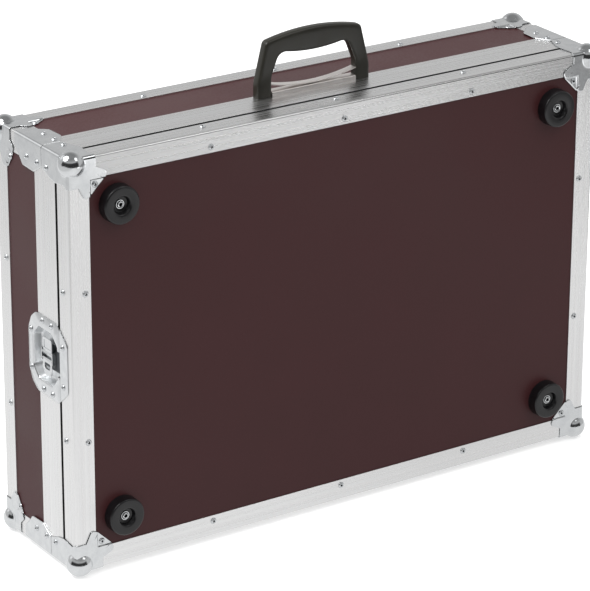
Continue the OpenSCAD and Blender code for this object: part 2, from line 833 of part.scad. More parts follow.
// Drawn plate with the window that the cam works in, and a bead that faces the keeper's lip
module latch_hook(side) {
    nose_y = 22;
    tail_y = hub_y + cam_throw + cam_r + 5;
    color(steel) on_latch(side) {
        difference() {
            slab_x(hook_top, hook_bottom) polygon(rounded([
                [nose_y, -hook_half, 2], [tail_y, -hook_half, 5], [tail_y, hook_half, 5], [nose_y, hook_half, 2]
            ]));
            translate([hook_top - 1, hub_y + cam_throw - cam_r - 0.75, -cam_r - cam_throw - 0.5])
                cube([4, 2 * (cam_r + 0.75), 2 * (cam_r + cam_throw + 0.5)]);
        }
        translate([4.8, nose_y, -hook_half + 2]) cube([hook_top - 4.8, 3, 2 * hook_half - 4]);
    }
}

// One butterfly wing, drawn towards +z; a square one or a round one with a finger hole
module wing(side, lower) {
    w = wing_half;
    square_end = [[w, wing_reach - 3, 4], [-w, wing_reach - 3, 4]];
    round_end = [[w, wing_reach - 9, 6], [w - 6, wing_reach, 5], [-w + 6, wing_reach, 5], [-w, wing_reach - 9, 6]];
    outline = concat([[-w, wing_axis_z, 0], [w, wing_axis_z, 0]], lower ? round_end : square_end);
    color(steel) on_latch(side) translate([0, hub_y, 0]) mirror([0, 0, lower ? 1 : 0]) {
        difference() {
            slab_x(1.3, 3.3) polygon(rounded(outline));
            if (lower) slab_x(0, 5) polygon(rounded([
                [-w + 4.5, wing_axis_z + 5, 2], [w - 4.5, wing_axis_z + 5, 2],
                [w - 5, wing_reach - 9, 4], [-w + 5, wing_reach - 9, 4]
            ]));
            if (!lower) translate([1, -w + 3.5, wing_axis_z + 5]) cube([1.1, 2 * w - 7, wing_reach - 16.5]);
        }
        translate([wing_axis_x, -w, wing_axis_z]) rotate([-90, 0, 0]) cylinder(r = 1.8, h = 2 * w);
        translate([wing_axis_x, -w - 2.6, wing_axis_z]) rotate([-90, 0, 0]) cylinder(r = 1.2, h = 2 * w + 5.2);
    }
}

place() base_panel();
place() base_rim("bottom");  // base_rim_bottom
place() base_rim("top");  // base_rim_top
place() base_rim("left");  // base_rim_left
place() base_rim("right");  // base_rim_right
place() base_edge("bottom");  // base_edge_bottom
place() base_edge("top");  // base_edge_top
place() base_edge("left");  // base_edge_left
place() base_edge("right");  // base_edge_right
place() base_corner("bottom", "left");  // base_corner_bottom_left
place() base_corner("bottom", "right");  // base_corner_bottom_right
place() base_corner("top", "left");  // base_corner_top_left
place() base_corner("top", "right");  // base_corner_top_right
place() foot("bottom", "left");  // foot_bottom_left
place() foot("bottom", "right");  // foot_bottom_right
place() foot("top", "left");  // foot_top_left
place() foot("top", "right");  // foot_top_right
place() foot_screws();
place() base_rivets();
place() keeper("left");  // keeper_left
place() keeper("right");  // keeper_right
place() lid_back_panel();
place() lid_wall("bottom");  // lid_wall_bottom
place() lid_wall("top");  // lid_wall_top
place() lid_wall("left");  // lid_wall_left
place() lid_wall("right");  // lid_wall_right
place() lid_closing("bottom");  // lid_closing_bottom
place() lid_closing("top");  // lid_closing_top
place() lid_closing("left");  // lid_closing_left
place() lid_closing("right");  // lid_closing_right
place() lid_edge("bottom");  // lid_edge_bottom
place() lid_edge("top");  // lid_edge_top
place() lid_edge("left");  // lid_edge_left
place() lid_edge("right");  // lid_edge_right
place() lid_depth_angles();
place() lid_corner("bottom", "left");  // lid_corner_bottom_left
place() lid_corner("bottom", "right");  // lid_corner_bottom_right
place() lid_corner("top", "left");  // lid_corner_top_left
place() lid_corner("top", "right");  // lid_corner_top_right
place() lid_brace("bottom", "left");  // lid_brace_bottom_left
place() lid_brace("bottom", "right");  // lid_brace_bottom_right
place() lid_brace("top", "left");  // lid_brace_top_left
place() lid_brace("top", "right");  // lid_brace_top_right
place() lid_rivets();
place() handle_grip();
place() handle_strap();
place() handle_bridge();
place() handle_bolts();
place() latch_dish("left");  // latch_dish_left
place() latch_dish("right");  // latch_dish_right
place() latch_hub("left");  // latch_hub_left
place() latch_hub("right");  // latch_hub_right
place() latch_hook("left");  // latch_hook_left
place() latch_hook("right");  // latch_hook_right
place() wing("left", false);  // wing_upper_left
place() wing("left", true);  // wing_lower_left
place() wing("right", false);  // wing_upper_right
place() wing("right", true);  // wing_lower_right
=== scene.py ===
# %% [markdown]
# # A flight case for guitar pedals
# The case is built from faced plywood boards that sit in aluminium extrusions. Steel ball corners, folded
# braces, butterfly latches, a moulded handle and rubber feet are riveted or screwed on.
# The CAD model gives every piece its place. This lesson gives each one its surface: the boards keep their
# CAD mesh and get a finish, and the pieces that catch the light are worked out again as finer surfaces.

# %% Frame
import math
import bpy
import numpy as np
from mathutils import Matrix


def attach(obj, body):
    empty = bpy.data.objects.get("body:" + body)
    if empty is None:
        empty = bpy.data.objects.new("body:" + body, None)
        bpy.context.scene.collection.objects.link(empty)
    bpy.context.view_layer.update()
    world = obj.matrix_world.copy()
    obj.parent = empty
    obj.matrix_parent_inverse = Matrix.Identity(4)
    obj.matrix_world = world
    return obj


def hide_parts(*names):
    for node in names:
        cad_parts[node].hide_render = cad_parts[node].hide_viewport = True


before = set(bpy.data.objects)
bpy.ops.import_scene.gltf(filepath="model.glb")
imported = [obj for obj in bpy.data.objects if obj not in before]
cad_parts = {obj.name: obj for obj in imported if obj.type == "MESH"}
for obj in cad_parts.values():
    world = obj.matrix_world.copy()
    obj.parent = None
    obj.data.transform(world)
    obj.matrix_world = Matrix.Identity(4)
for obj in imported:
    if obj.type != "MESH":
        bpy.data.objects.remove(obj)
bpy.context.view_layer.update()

# %% [markdown]
# ## Sizes
# A case maker thinks in millimetres from the case's own faces: x from the middle, y back from the front face
# and z up from the bottom face. `placed` turns such points into the metres of the shared frame, so that every
# formula below can be written in the maker's numbers.

# %% Sizes
MM = 0.001
LENGTH, HEIGHT, DEPTH = 844.5, 580.0, 189.7
HALF = LENGTH / 2
MIDDLE_Y, BALL_PROUD = 91.85, 8.5
SHEET, LEG = 1.5, 30.0
BASE_RIM, LID_RIM, CLOSING_BACK, EDGE_BACK = 29.75, 35.25, 87.35, 160.7
STEEL = 1.5
LATCH_Z = 288.5
SIDES = ("bottom", "top", "left", "right")
CORNERS = [(v, h) for v in ("bottom", "top") for h in ("left", "right")]


def placed(points):
    """Case millimetres to frame metres: shift y by half the depth and z by the balls' height, then scale."""
    return (np.asarray(points, float) - [0, MIDDLE_Y, -BALL_PROUD]) * MM


print("case over its aluminium:", LENGTH, "x", DEPTH, "x", HEIGHT, "mm")

# %% [markdown]
# ## Camera
# The photograph looks down on the case from its front left. The place and the lens were worked out from the
# case's own parallel edges: where they meet on the horizon gives the angles, and their spread gives the lens.

# %% Camera
YAW, PITCH, ROLL = math.radians(33.5656), math.radians(21.9354), math.radians(0.2272)
scene = bpy.context.scene
camera = bpy.data.objects.new("camera", bpy.data.cameras.new("camera"))
scene.collection.objects.link(camera)
forward = np.array([math.sin(YAW) * math.cos(PITCH), math.cos(YAW) * math.cos(PITCH), -math.sin(PITCH)])
level = np.array([math.cos(YAW), -math.sin(YAW), 0])
upright = np.cross(level, forward)
right = level * math.cos(ROLL) + upright * math.sin(ROLL)
up = upright * math.cos(ROLL) - level * math.sin(ROLL)
pose = np.eye(4)
pose[:3, 0], pose[:3, 1], pose[:3, 2] = right, up, -forward
pose[:3, 3] = (-2.37756, -3.55773, 2.00565)
camera.matrix_world = Matrix(pose.tolist())
camera.data.lens = 203.67
camera.data.sensor_width = 36
scene.camera = camera
scene.view_settings.view_transform = "Standard"
print("camera at", pose[:3, 3], "with a", camera.data.lens, "mm lens")

# %% [markdown]
# ## Nodes and colours
# A colour is written as the sRGB hex value that a colour picker shows, and one function turns it into the
# linear numbers that light is worked out in. `add` makes a node and `wire` fills its inputs. A noise is set by
# its cells in a metre, so `cells` gives that number for a real size in millimetres. All materials end alike, so
# `coated` joins each pattern to colour, roughness and bump.

# %% Node helpers
def rgb(code):
    """sRGB hex to linear RGBA: c / 12.92 up to 0.04045, above it ((c + 0.055) / 1.055) to the power 2.4."""
    c = np.array([int(code[i:i + 2], 16) for i in (1, 3, 5)]) / 255
    linear = np.where(c <= 0.04045, c / 12.92, ((c + 0.055) / 1.055) ** 2.4)
    return (*linear.tolist(), 1.0)


def wire(tree, node, inputs):
    """Fills inputs of a node, each with a hex colour, a plain value or another node's output."""
    for key, value in inputs.items():
        if isinstance(value, bpy.types.NodeSocket):
            tree.links.new(value, node.inputs[key])
        else:
            node.inputs[key].default_value = rgb(value) if isinstance(value, str) else value
    return node


def add(tree, kind, inputs=None, **settings):
    """Adds one shader node with its settings and inputs."""
    made = tree.nodes.new("ShaderNode" + kind)
    for key, value in settings.items():
        setattr(made, key, value)
    return wire(tree, made, inputs or {})


def new_material(name):
    """An empty material, with its node tree and its shader."""
    material = bpy.data.materials.new(name)
    material.use_nodes = True
    tree = material.node_tree
    return material, tree, tree.nodes["Principled BSDF"]


def cells(size_mm):
    """Noise cells in a metre: 1000 over the cell's real size in millimetres."""
    return 1000 / size_mm


# Nearly all values of a noise lie between these two, so a Map Range node starts from them.
NOISE = {"From Min": 0.3, "From Max": 0.7}


def coated(tree, shader, tint, pattern, colours, rough, height, strength, deep_mm, **fixed):
    """Tint picks between two colours, pattern sets the roughness, height the bump; fixed inputs are added."""
    colour = add(tree, "Mix", {0: tint, 6: colours[0], 7: colours[1]}, data_type="RGBA").outputs[2]
    ends = {"To Min": rough[0], "To Max": rough[1]}
    roughness = add(tree, "MapRange", {"Value": pattern, **NOISE, **ends}).outputs[0]
    bump = add(tree, "Bump", {"Height": height, "Strength": strength, "Distance": deep_mm * MM}).outputs[0]
    wire(tree, shader, {"Base Color": colour, "Roughness": roughness, "Normal": bump, **fixed})


print("the hex grey #808080 is", round(rgb("#808080")[0], 3), "in linear light")

# %% [markdown]
# ## Aluminium
# The edges are mill finish extrusions of aluminium. Metal pressed through a die comes out with fine lines
# along its length, so the eye reads soft streaks and a stretched shine. The pattern follows each piece's own
# UV map, whose first number runs along the extrusion in metres and whose second goes round its section.

# %% Aluminium
def aluminium_extrusion():
    """Mill finish aluminium: streaks 1.4 mm and 5.9 mm wide, 0.7 m and more long, added to one height."""
    material, tree, shader = new_material("aluminium_extruded")
    run = add(tree, "UVMap", uv_map="run").outputs[0]
    layers = []
    for long_mm, wide_mm, detail, share in ((666.67, 1.4286, 3.0, 0.4), (1250, 5.8824, 2.0, 0.6)):
        drawn = add(tree, "Mapping", {"Vector": run, "Scale": (cells(long_mm), cells(wide_mm), 1)}).outputs[0]
        inputs = {"Vector": drawn, "Scale": 1.0, "Detail": detail}
        streaks = add(tree, "TexNoise", inputs, noise_dimensions="2D").outputs[0]
        layers.append(add(tree, "MapRange", {"Value": streaks, **NOISE, "To Max": share}).outputs[0])
    both = add(tree, "Math", {0: layers[0], 1: layers[1]}, operation="ADD").outputs[0]
    coated(tree, shader, both, both, ("#DCDCDC", "#EDEDED"), (0.24, 0.34), both, 0.3, 0.05, Metallic=1.0)
    return material


aluminium = aluminium_extrusion()
print("material:", aluminium.name)

# %% [markdown]
# ## Steel
# Corners, braces, latches and rivets are pressed from sheet steel and zinc plated. Bright zinc is smoother
# and a little bluer than the aluminium, and its plating bath leaves a faint cloudiness a centimetre wide.
# Some pieces were treated in another way, some are painted with light and some with shade, and a line above each
# finish says which and what that gives the eye.

# %% Steel
def steel_finish(name, dark, light, rough_low, rough_high, deep_mm=0.04):
    """Steel: clouds 12.5 mm wide, and a skin too fine to see that is drawn 1.1 mm coarse."""
    material, tree, shader = new_material(name)
    place = add(tree, "TexCoord").outputs["Object"]
    clouds = add(tree, "TexNoise", {"Vector": place, "Scale": cells(12.5), "Detail": 3.0}).outputs[0]
    skin = add(tree, "TexNoise", {"Vector": place, "Scale": cells(1.1111), "Detail": 1.0}).outputs[0]
    tint = add(tree, "MapRange", {"Value": clouds, **NOISE}).outputs[0]
    rough = (rough_low, rough_high)
    coated(tree, shader, tint, clouds, (dark, light), rough, skin, 0.25, deep_mm, Metallic=1.0)
    return material


zinc = steel_finish("steel_zinc_plated", "#D0D2D4", "#DBDDDE", 0.13, 0.18)
# Nickel on rolled spring steel is warmer and duller: the strap shows as one soft pale band.
strap_steel = steel_finish("steel_nickel_strap", "#E4DEDA", "#F0EBE8", 0.34, 0.4, 0.01)
# Rivet heads come out of the tumbling drum a little matt: they show as soft dots.
rivet_steel = steel_finish("steel_rivet_head", "#CDD0D2", "#D8DADC", 0.32, 0.4)
# Drawing a bowl stretches its skin until it is dull, so it shows no mirror image. Its colour is lighter than the
# flange's: painted light in the recess.
bowl_painted_light = steel_finish("steel_bowl_painted_light", "#DEE0E2", "#E8EAEB", 0.38, 0.46)
# Painted shade: the hook plate is painted dark grey with a broad dim shine, as the slot it sits in gets little
# light.
hook_painted_shade = steel_finish("steel_hook_painted_shade", "#4A4D50", "#5C5F62", 0.3, 0.4)
# Painted shade: the inside of each rivet's pin hole and each screw's socket is painted near black.
hole_painted_shade = steel_finish("painted_shade_in_hole", "#1A1B1C", "#2A2B2D", 0.5, 0.6)
steels = (zinc, strap_steel, rivet_steel, bowl_painted_light, hook_painted_shade, hole_painted_shade)
print("materials:", ", ".join(steel.name for steel in steels))

# %% [markdown]
# ## Faced plywood
# The boards are birch plywood with a brown phenolic film pressed on. The film is hard and smooth with a soft
# sheen, it dries to a slightly uneven maroon, and the veneer's grain shows through it very faintly.

# %% Faced plywood
def phenolic_film():
    """Phenolic film: mottling 3 mm and clouds 110 mm wide, over grain lines 1.1 mm apart and 60 mm long."""
    material, tree, shader = new_material("plywood_phenolic_film")
    place = add(tree, "TexCoord").outputs["Object"]
    mottle = add(tree, "TexNoise", {"Vector": place, "Scale": cells(3.0303), "Detail": 3.0}).outputs[0]
    cloud = add(tree, "TexNoise", {"Vector": place, "Scale": cells(111.11), "Detail": 2.0}).outputs[0]
    stretch = (cells(62.5), cells(1.1111), cells(1.1111))
    along = add(tree, "Mapping", {"Vector": place, "Scale": stretch}).outputs[0]
    grain = add(tree, "TexNoise", {"Vector": along, "Scale": 1.0, "Detail": 2.0}).outputs[0]
    height = add(tree, "Math", {0: mottle, 1: grain}, operation="ADD").outputs[0]
    mottle = add(tree, "MapRange", {"Value": mottle, **NOISE, "To Max": 0.5}).outputs[0]
    cloud = add(tree, "MapRange", {"Value": cloud, **NOISE, "To Max": 0.5}).outputs[0]
    mixed = add(tree, "Math", {0: mottle, 1: cloud}, operation="ADD").outputs[0]
    coated(tree, shader, mixed, mixed, ("#3D1F20", "#442527"), (0.34, 0.44), height, 0.3, 0.03, IOR=1.31)
    return material


film = phenolic_film()
print("material:", film.name)

# %% [markdown]
# ## Rubber and moulded plastic
# The feet are black rubber, dull with a fine moulded skin. The handle is glass filled nylon from a spark
# eroded mould, which gives it a fine grain and a soft grey shine along its edges. The faces inside the groove
# between base and lid are painted near black: painted shade, as the deep groove gets no light.

# %% Rubber and plastic
def moulded(name, dark, light, rough_low, rough_high, grain_mm):
    """Moulded black: grain cells grain_mm wide and 0.03 mm deep, with slow changes of sheen 25 mm wide."""
    material, tree, shader = new_material(name)
    place = add(tree, "TexCoord").outputs["Object"]
    grain = add(tree, "TexNoise", {"Vector": place, "Scale": cells(grain_mm), "Detail": 2.0}).outputs[0]
    sheen = add(tree, "TexNoise", {"Vector": place, "Scale": cells(25), "Detail": 2.0}).outputs[0]
    tint = add(tree, "MapRange", {"Value": sheen, **NOISE}).outputs[0]
    coated(tree, shader, tint, sheen, (dark, light), (rough_low, rough_high), grain, 0.35, 0.03)
    return material


rubber = moulded("rubber_moulded", "#0E0D0F", "#141315", 0.28, 0.38, 0.8)
nylon = moulded("nylon_moulded", "#201F19", "#28261F", 0.32, 0.42, 0.6)
# Painted shade: near black for the faces inside the groove between base and lid, where little light gets in.
groove_painted_shade = moulded("painted_shade_groove", "#0B0B0B", "#121212", 0.6, 0.7, 0.8)
print("materials:", rubber.name, nylon.name, groove_painted_shade.name)

# %% [markdown]
# ## Making a mesh
# Each new piece is a set of points worked out by numpy and a list of faces. `piece` puts them into a mesh,
# joins it to the CAD body that carries it, hides the CAD node it stands for, and turns its normals outward.
# A sheet of steel is drawn as its outer skin alone, and `thickened` gives it its wall afterwards.

# %% Making a mesh
import bmesh


def grid_faces(rows, columns, wrap=False):
    """Quads between neighbouring points of a rows x columns grid; wrap joins the last column to the first."""
    r = np.arange(rows - 1)[:, None]
    c = np.arange(columns if wrap else columns - 1)[None, :]
    n = (c + 1) % columns
    quads = np.stack([r * columns + c, r * columns + n, (r + 1) * columns + n, (r + 1) * columns + c], -1)
    return quads.reshape(-1, 4)


def piece(name, points, faces, material, body, stands_for=(), sharp=35, weld=0.00001, uv=None, dark=()):
    """Makes a mesh object from frame metres, welds its seams, turns its faces outward and gives it its body.

    The faces whose numbers are in dark get the groove's painted shade instead of the material.
    """
    mesh = bpy.data.meshes.new(name)
    mesh.from_pydata(np.asarray(points).tolist(), [], [list(map(int, f)) for f in faces])
    if uv is not None:
        mesh.uv_layers.new(name="run").data.foreach_set("uv", np.asarray(uv, np.float32).ravel())
    for k in dark:
        mesh.polygons[k].material_index = 1
    work = bmesh.new()
    work.from_mesh(mesh)
    bmesh.ops.remove_doubles(work, verts=work.verts, dist=weld)
    bmesh.ops.recalc_face_normals(work, faces=work.faces)
    work.to_mesh(mesh)
    work.free()
    mesh.shade_smooth()
    mesh.set_sharp_from_angle(angle=math.radians(sharp))
    mesh.materials.append(material)
    if len(dark):
        mesh.materials.append(groove_painted_shade)
    made = bpy.data.objects.new(name, mesh)
    scene.collection.objects.link(made)
    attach(made, body)
    if stands_for:
        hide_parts(*stands_for)
    return made


def joined(parts):
    """One array of points and one list of faces from several (points, faces), numbered on from part to part."""
    firsts = np.cumsum([0] + [len(points) for points, _ in parts])
    faces = [np.asarray(face) + first for (_, some), first in zip(parts, firsts) for face in some]
    return np.concatenate([points for points, _ in parts]), faces


def thickened(made, thickness):
    """Gives a sheet piece its wall, thickness millimetres inward from the outer skin."""
    wall = made.modifiers.new("wall", "SOLIDIFY")
    wall.thickness = thickness * MM
    wall.offset = -1
    wall.use_even_offset = True


# %% [markdown]
# ## Extrusions
# An extrusion is one section pushed along a straight line, so it is made as exactly that: the outline of the
# section at one end, the same outline at the other, and faces between them. Where two meet at a corner they
# are mitred, which only means that a point further in from the outer face stops that much sooner.
# Fine grooves run along the outer faces. They are part of the outline, not of the material, so that they
# catch the light from every side. Where base and lid part, the lid's tongue stands in a groove of the base.

# %% Section outlines
GROOVE_PITCH, GROOVE_DEPTH = 1.6, 0.12
EDGE_ROUND, NOSE = 3.0, 0.12
# Inner face of the boards, inner face of the flange that holds them, and that flange's length.
BOARD_IN, FLANGE_IN, FLANGE_LONG = 8.5, 10.0, 8.0
# Bottom of the base's groove, end of the lid's tongue, and the tongue's outer and inner face.
GROOVE_FLOOR, TONGUE_END, TONGUE_OUT, TONGUE_IN = 22.95, 23.45, 5.0, 8.0
GROOVE_WALL, LID_WEB = GROOVE_FLOOR - SHEET, LID_RIM + SHEET


def grooved(start, end, inward):
    """A straight line that dips by depth times sin squared of pi times the distance over the pitch."""
    start, end, inward = (np.array(p, float) for p in (start, end, inward))
    count = round(np.linalg.norm(end - start) / GROOVE_PITCH)
    t = np.linspace(0, 1, count * 4 + 1)[:, None]
    return start + (end - start) * t + inward * GROOVE_DEPTH * np.sin(np.pi * count * t) ** 2


def arc(centre, radius, start, end, steps=8):
    """Points centre + radius (cos, sin) between two angles in degrees."""
    angle = np.radians(np.linspace(start, end, steps + 1))
    return np.array(centre) + radius * np.stack([np.cos(angle), np.sin(angle)], -1)


def leg_nose(tip, towards_back, towards_in):
    """The rounded end of a leg, as three points from its inner to its outer face."""
    tip, a, b = np.array(tip, float), np.array(towards_back, float), np.array(towards_in, float)
    return np.array([tip + a * SHEET, tip + a * NOSE, tip + b * NOSE])


base_outline = np.concatenate([
    leg_nose((0, LEG), (1, 0), (0, -1)),
    grooved((0, LEG - NOSE), (0, EDGE_ROUND), (1, 0))[1:],
    arc((EDGE_ROUND, EDGE_ROUND), EDGE_ROUND, 180, 270)[1:],
    grooved((EDGE_ROUND, 0), (BASE_RIM - NOSE, 0), (0, 1))[1:],
    [(BASE_RIM, NOSE), (BASE_RIM, SHEET), (GROOVE_FLOOR, SHEET), (GROOVE_FLOOR, BOARD_IN),
     (BASE_RIM, BOARD_IN), (BASE_RIM, FLANGE_IN), (GROOVE_WALL - FLANGE_LONG, FLANGE_IN),
     (GROOVE_WALL - FLANGE_LONG, BOARD_IN), (GROOVE_WALL, BOARD_IN), (GROOVE_WALL, SHEET), (SHEET, SHEET)],
])
closing_outline = np.concatenate([
    [(LID_RIM, FLANGE_IN), (LID_RIM, TONGUE_IN), (TONGUE_END, TONGUE_IN), (TONGUE_END, TONGUE_OUT),
     (LID_RIM, TONGUE_OUT), (LID_RIM, NOSE)],
    grooved((LID_RIM + NOSE, 0), (CLOSING_BACK - NOSE, 0), (0, 1)),
    [(CLOSING_BACK, NOSE), (CLOSING_BACK, SHEET), (LID_WEB, SHEET), (LID_WEB, BOARD_IN),
     (LID_WEB + FLANGE_LONG, BOARD_IN), (LID_WEB + FLANGE_LONG, FLANGE_IN)],
])
back_outline = np.concatenate([
    leg_nose((DEPTH, LEG), (-1, 0), (0, -1)),
    grooved((DEPTH, LEG - NOSE), (DEPTH, EDGE_ROUND), (-1, 0))[1:],
    arc((DEPTH - EDGE_ROUND, EDGE_ROUND), EDGE_ROUND, 0, -90)[1:],
    grooved((DEPTH - EDGE_ROUND, 0), (EDGE_BACK + NOSE, 0), (0, 1))[1:],
    [(EDGE_BACK, NOSE), (EDGE_BACK, SHEET), (DEPTH - SHEET, SHEET)],
])
angle_outline = np.concatenate([
    leg_nose((0, LEG), (1, 0), (0, -1)),
    grooved((0, LEG - NOSE), (0, EDGE_ROUND), (1, 0))[1:],
    arc((EDGE_ROUND, EDGE_ROUND), EDGE_ROUND, 180, 270)[1:],
    grooved((EDGE_ROUND, 0), (LEG - NOSE, 0), (0, 1))[1:],
    [(LEG, NOSE), (LEG, SHEET), (SHEET, SHEET)],
])
outlines = (base_outline, closing_outline, back_outline, angle_outline)
print("points in the four outlines:", [len(outline) for outline in outlines])

# %% Pushing an outline along
def on_side(side, along, back, inward):
    """Case millimetres of a point that lies along a side, back from the front and in from that side's face."""
    along, back, inward = np.broadcast_arrays(along, back, inward)
    if side == "bottom":
        return np.stack([along, back, inward], -1)
    if side == "top":
        return np.stack([along, back, HEIGHT - inward], -1)
    if side == "left":
        return np.stack([inward - HALF, back, along + HEIGHT / 2], -1)
    return np.stack([HALF - inward, back, along + HEIGHT / 2], -1)


def at_corner(points, vertical, horizontal, back):
    """Moves points drawn at the case's front, bottom, left corner to any of the eight, by mirroring."""
    x, y, z = np.moveaxis(np.asarray(points), -1, 0)
    return np.stack([x - HALF if horizontal == "left" else HALF - x, DEPTH - y if back else y,
                     z if vertical == "bottom" else HEIGHT - z], -1)


def extruded(outline, start, end):
    """Two copies of an outline, at start and end along it, with the faces between them and both caps.

    Returns (position along, outline points, faces, UV per face corner); the UV is metres along and across.
    """
    n = len(outline)
    along = np.concatenate([np.broadcast_to(start, n), np.broadcast_to(end, n)]).astype(float)
    i = np.arange(n)
    quads = np.stack([i, (i + 1) % n, (i + 1) % n + n, i + n], -1)
    steps = np.linalg.norm(np.roll(outline, -1, 0) - outline, axis=1)
    across = np.concatenate([[0], np.cumsum(steps)])
    quad_across = np.stack([across[i], across[i + 1], across[i + 1], across[i]], -1)
    uv = np.stack([along[quads], quad_across], -1).reshape(-1, 2)
    caps = np.concatenate([outline, outline[::-1]])
    faces = [*quads.tolist(), i[::-1].tolist(), (i + n).tolist()]
    return along, np.concatenate([outline, outline]), faces, np.concatenate([uv, caps]) * MM


def side_extrusion(name, side, outline, body, dark=()):
    """One mitred extrusion: at inward distance u it runs from u - half to half - u."""
    half = HALF if side in ("bottom", "top") else HEIGHT / 2
    inward = outline[:, 1]
    along, section, faces, uv = extruded(outline, inward - half, half - inward)
    points = placed(on_side(side, along, section[:, 0], section[:, 1]))
    return piece(name, points, faces, aluminium, body, [name], uv=uv, dark=dark)


def carved(made, low, high):
    """Takes the box between two corners, in case millimetres, out of a piece."""
    low, high = placed(low), placed(high)
    pick = np.array([[x, y, z] for x in (0, 1) for y in (0, 1) for z in (0, 1)])
    mesh = bpy.data.meshes.new("cutter")
    faces = [(0, 1, 3, 2), (4, 6, 7, 5), (0, 4, 5, 1), (2, 3, 7, 6), (0, 2, 6, 4), (1, 5, 7, 3)]
    mesh.from_pydata((low + pick * (high - low)).tolist(), [], faces)
    cutter = bpy.data.objects.new("cutter", mesh)
    scene.collection.objects.link(cutter)
    cut = made.modifiers.new("cut", "BOOLEAN")
    cut.object, cut.operation, cut.solver = cutter, "DIFFERENCE", "EXACT"
    evaluated = made.evaluated_get(bpy.context.evaluated_depsgraph_get())
    finished = bpy.data.meshes.new_from_object(evaluated)
    made.modifiers.clear()
    made.data = finished
    bpy.data.objects.remove(cutter)


# %% Extrusions
# The latch needs room: boxes cut out on the left and right, as depth, two places along y and half the height.
BASE_CUT = (12, 13.4, 30.75, 21.2)
LID_CUTS = ((14, 37.3, 102.2, 38.2), (8.7, 22.9, 37.35, 21.8))
# Painted shade covers these faces: the groove's in the base outline, and the tongue's and the rim's in the closing
# one.
painted_shade_in_base = range(len(base_outline) - 10, len(base_outline) - 7)
painted_shade_on_tongue = range(5)
for side in SIDES:
    base = side_extrusion(f"base_edge_{side}", side, base_outline, "base", painted_shade_in_base)
    closing = side_extrusion(f"lid_closing_{side}", side, closing_outline, "lid", painted_shade_on_tongue)
    side_extrusion(f"lid_edge_{side}", side, back_outline, "lid")
    if side in ("left", "right"):
        outward = -1 if side == "left" else 1
        for made, (depth, y0, y1, half) in ((base, BASE_CUT), *((closing, cut) for cut in LID_CUTS)):
            x0, x1 = sorted([outward * (HALF + 1), outward * (HALF - depth)])
            carved(made, (x0, y0, LATCH_Z - half), (x1, y1, LATCH_Z + half))

along, section, faces, uv = extruded(angle_outline, CLOSING_BACK, EDGE_BACK)
one = np.stack([section[:, 0], along, section[:, 1]], -1)
points, faces = joined([(at_corner(one, v, h, False), faces) for v, h in CORNERS])
uv = np.tile(uv, (len(CORNERS), 1))
piece("lid_depth_angles", placed(points), faces, aluminium, "lid", ["lid_depth_angles"], uv=uv)
print("extrusions: 12 mitred ones and 4 short angles")

# %% [markdown]
# ## Ball corners
# A ball corner is one sheet of steel pressed over three faces of the case, with a ball where they meet. It
# could be a sphere joined to three flat plates, but the join would be a hard line. Here all of it is one
# surface: a point of three flat plates is first pulled onto rounded edges, then pushed away from the ball's
# centre until it is a ball's radius away, with a soft change between the two rules. The lobes lie on the
# extrusions near the ball and step down onto the board further in.

# %% Rounded outlines
def rounded(corners, steps=5):
    """Rounds each (x, y, radius): an arc that touches both sides at radius / tan of half the corner."""
    out = []
    for k, (x, y, radius) in enumerate(corners):
        at = np.array([x, y], float)
        if radius == 0:
            out.append([at])
            continue
        a = np.array(corners[k - 1][:2]) - at
        b = np.array(corners[(k + 1) % len(corners)][:2]) - at
        a, b = a / np.linalg.norm(a), b / np.linalg.norm(b)
        half = math.acos(np.clip(a @ b, -1, 1)) / 2
        centre = at + (a + b) / np.linalg.norm(a + b) * radius / math.sin(half)
        first, last = at + a * radius / math.tan(half) - centre, at + b * radius / math.tan(half) - centre
        start = math.atan2(first[1], first[0])
        sweep = (math.atan2(last[1], last[0]) - start + 3 * math.pi) % (2 * math.pi) - math.pi
        angle = start + sweep * np.linspace(0, 1, steps + 1)
        out.append(centre + radius * np.stack([np.cos(angle), np.sin(angle)], -1))
    return np.concatenate(out)


def lobe_outline(a, b):
    """Corner plate: arms along both edges, and a lobe between them that reaches a and b."""
    return rounded([(40, -STEEL, 0), (40, 14.5, 1.5), (a, 23, 5), (a - 3, 32, 5), (32, b - 3, 5), (23, b, 5),
                    (14.5, 40, 1.5), (-STEEL, 40, 0)])


def lug_outline():
    """Side plate of a front corner: its lug reaches back over the parting line."""
    return rounded([(66, -STEEL, 0), (66, 28, 1), (46.5, 36, 8), (31, 39, 8), (9, 36, 4), (4, 40, 1),
                    (-STEEL, 40, 0)])


# %% Ball corner surface
BALL_R, BALL_INSET, FOLD_R, JOIN = 17.5, 9.0, 4.5, 1.2
# Beyond this far outside the ball a plate is left flat.
BALL_REACH = 8.0
RINGS, RAY_GAP, EDGE_DROP = 56, 1.2, 0.6
STEP_AT, STEP_WIDE = 30.9, 1.5
# On a ray that crosses the step, these shares of the rows reach the knee, the step's start and its end. The knee
# lies KNEE_AT of the ray's length out.
KNEE, STARTS, ENDS, KNEE_AT = 0.6, 0.8, 0.9, 0.528


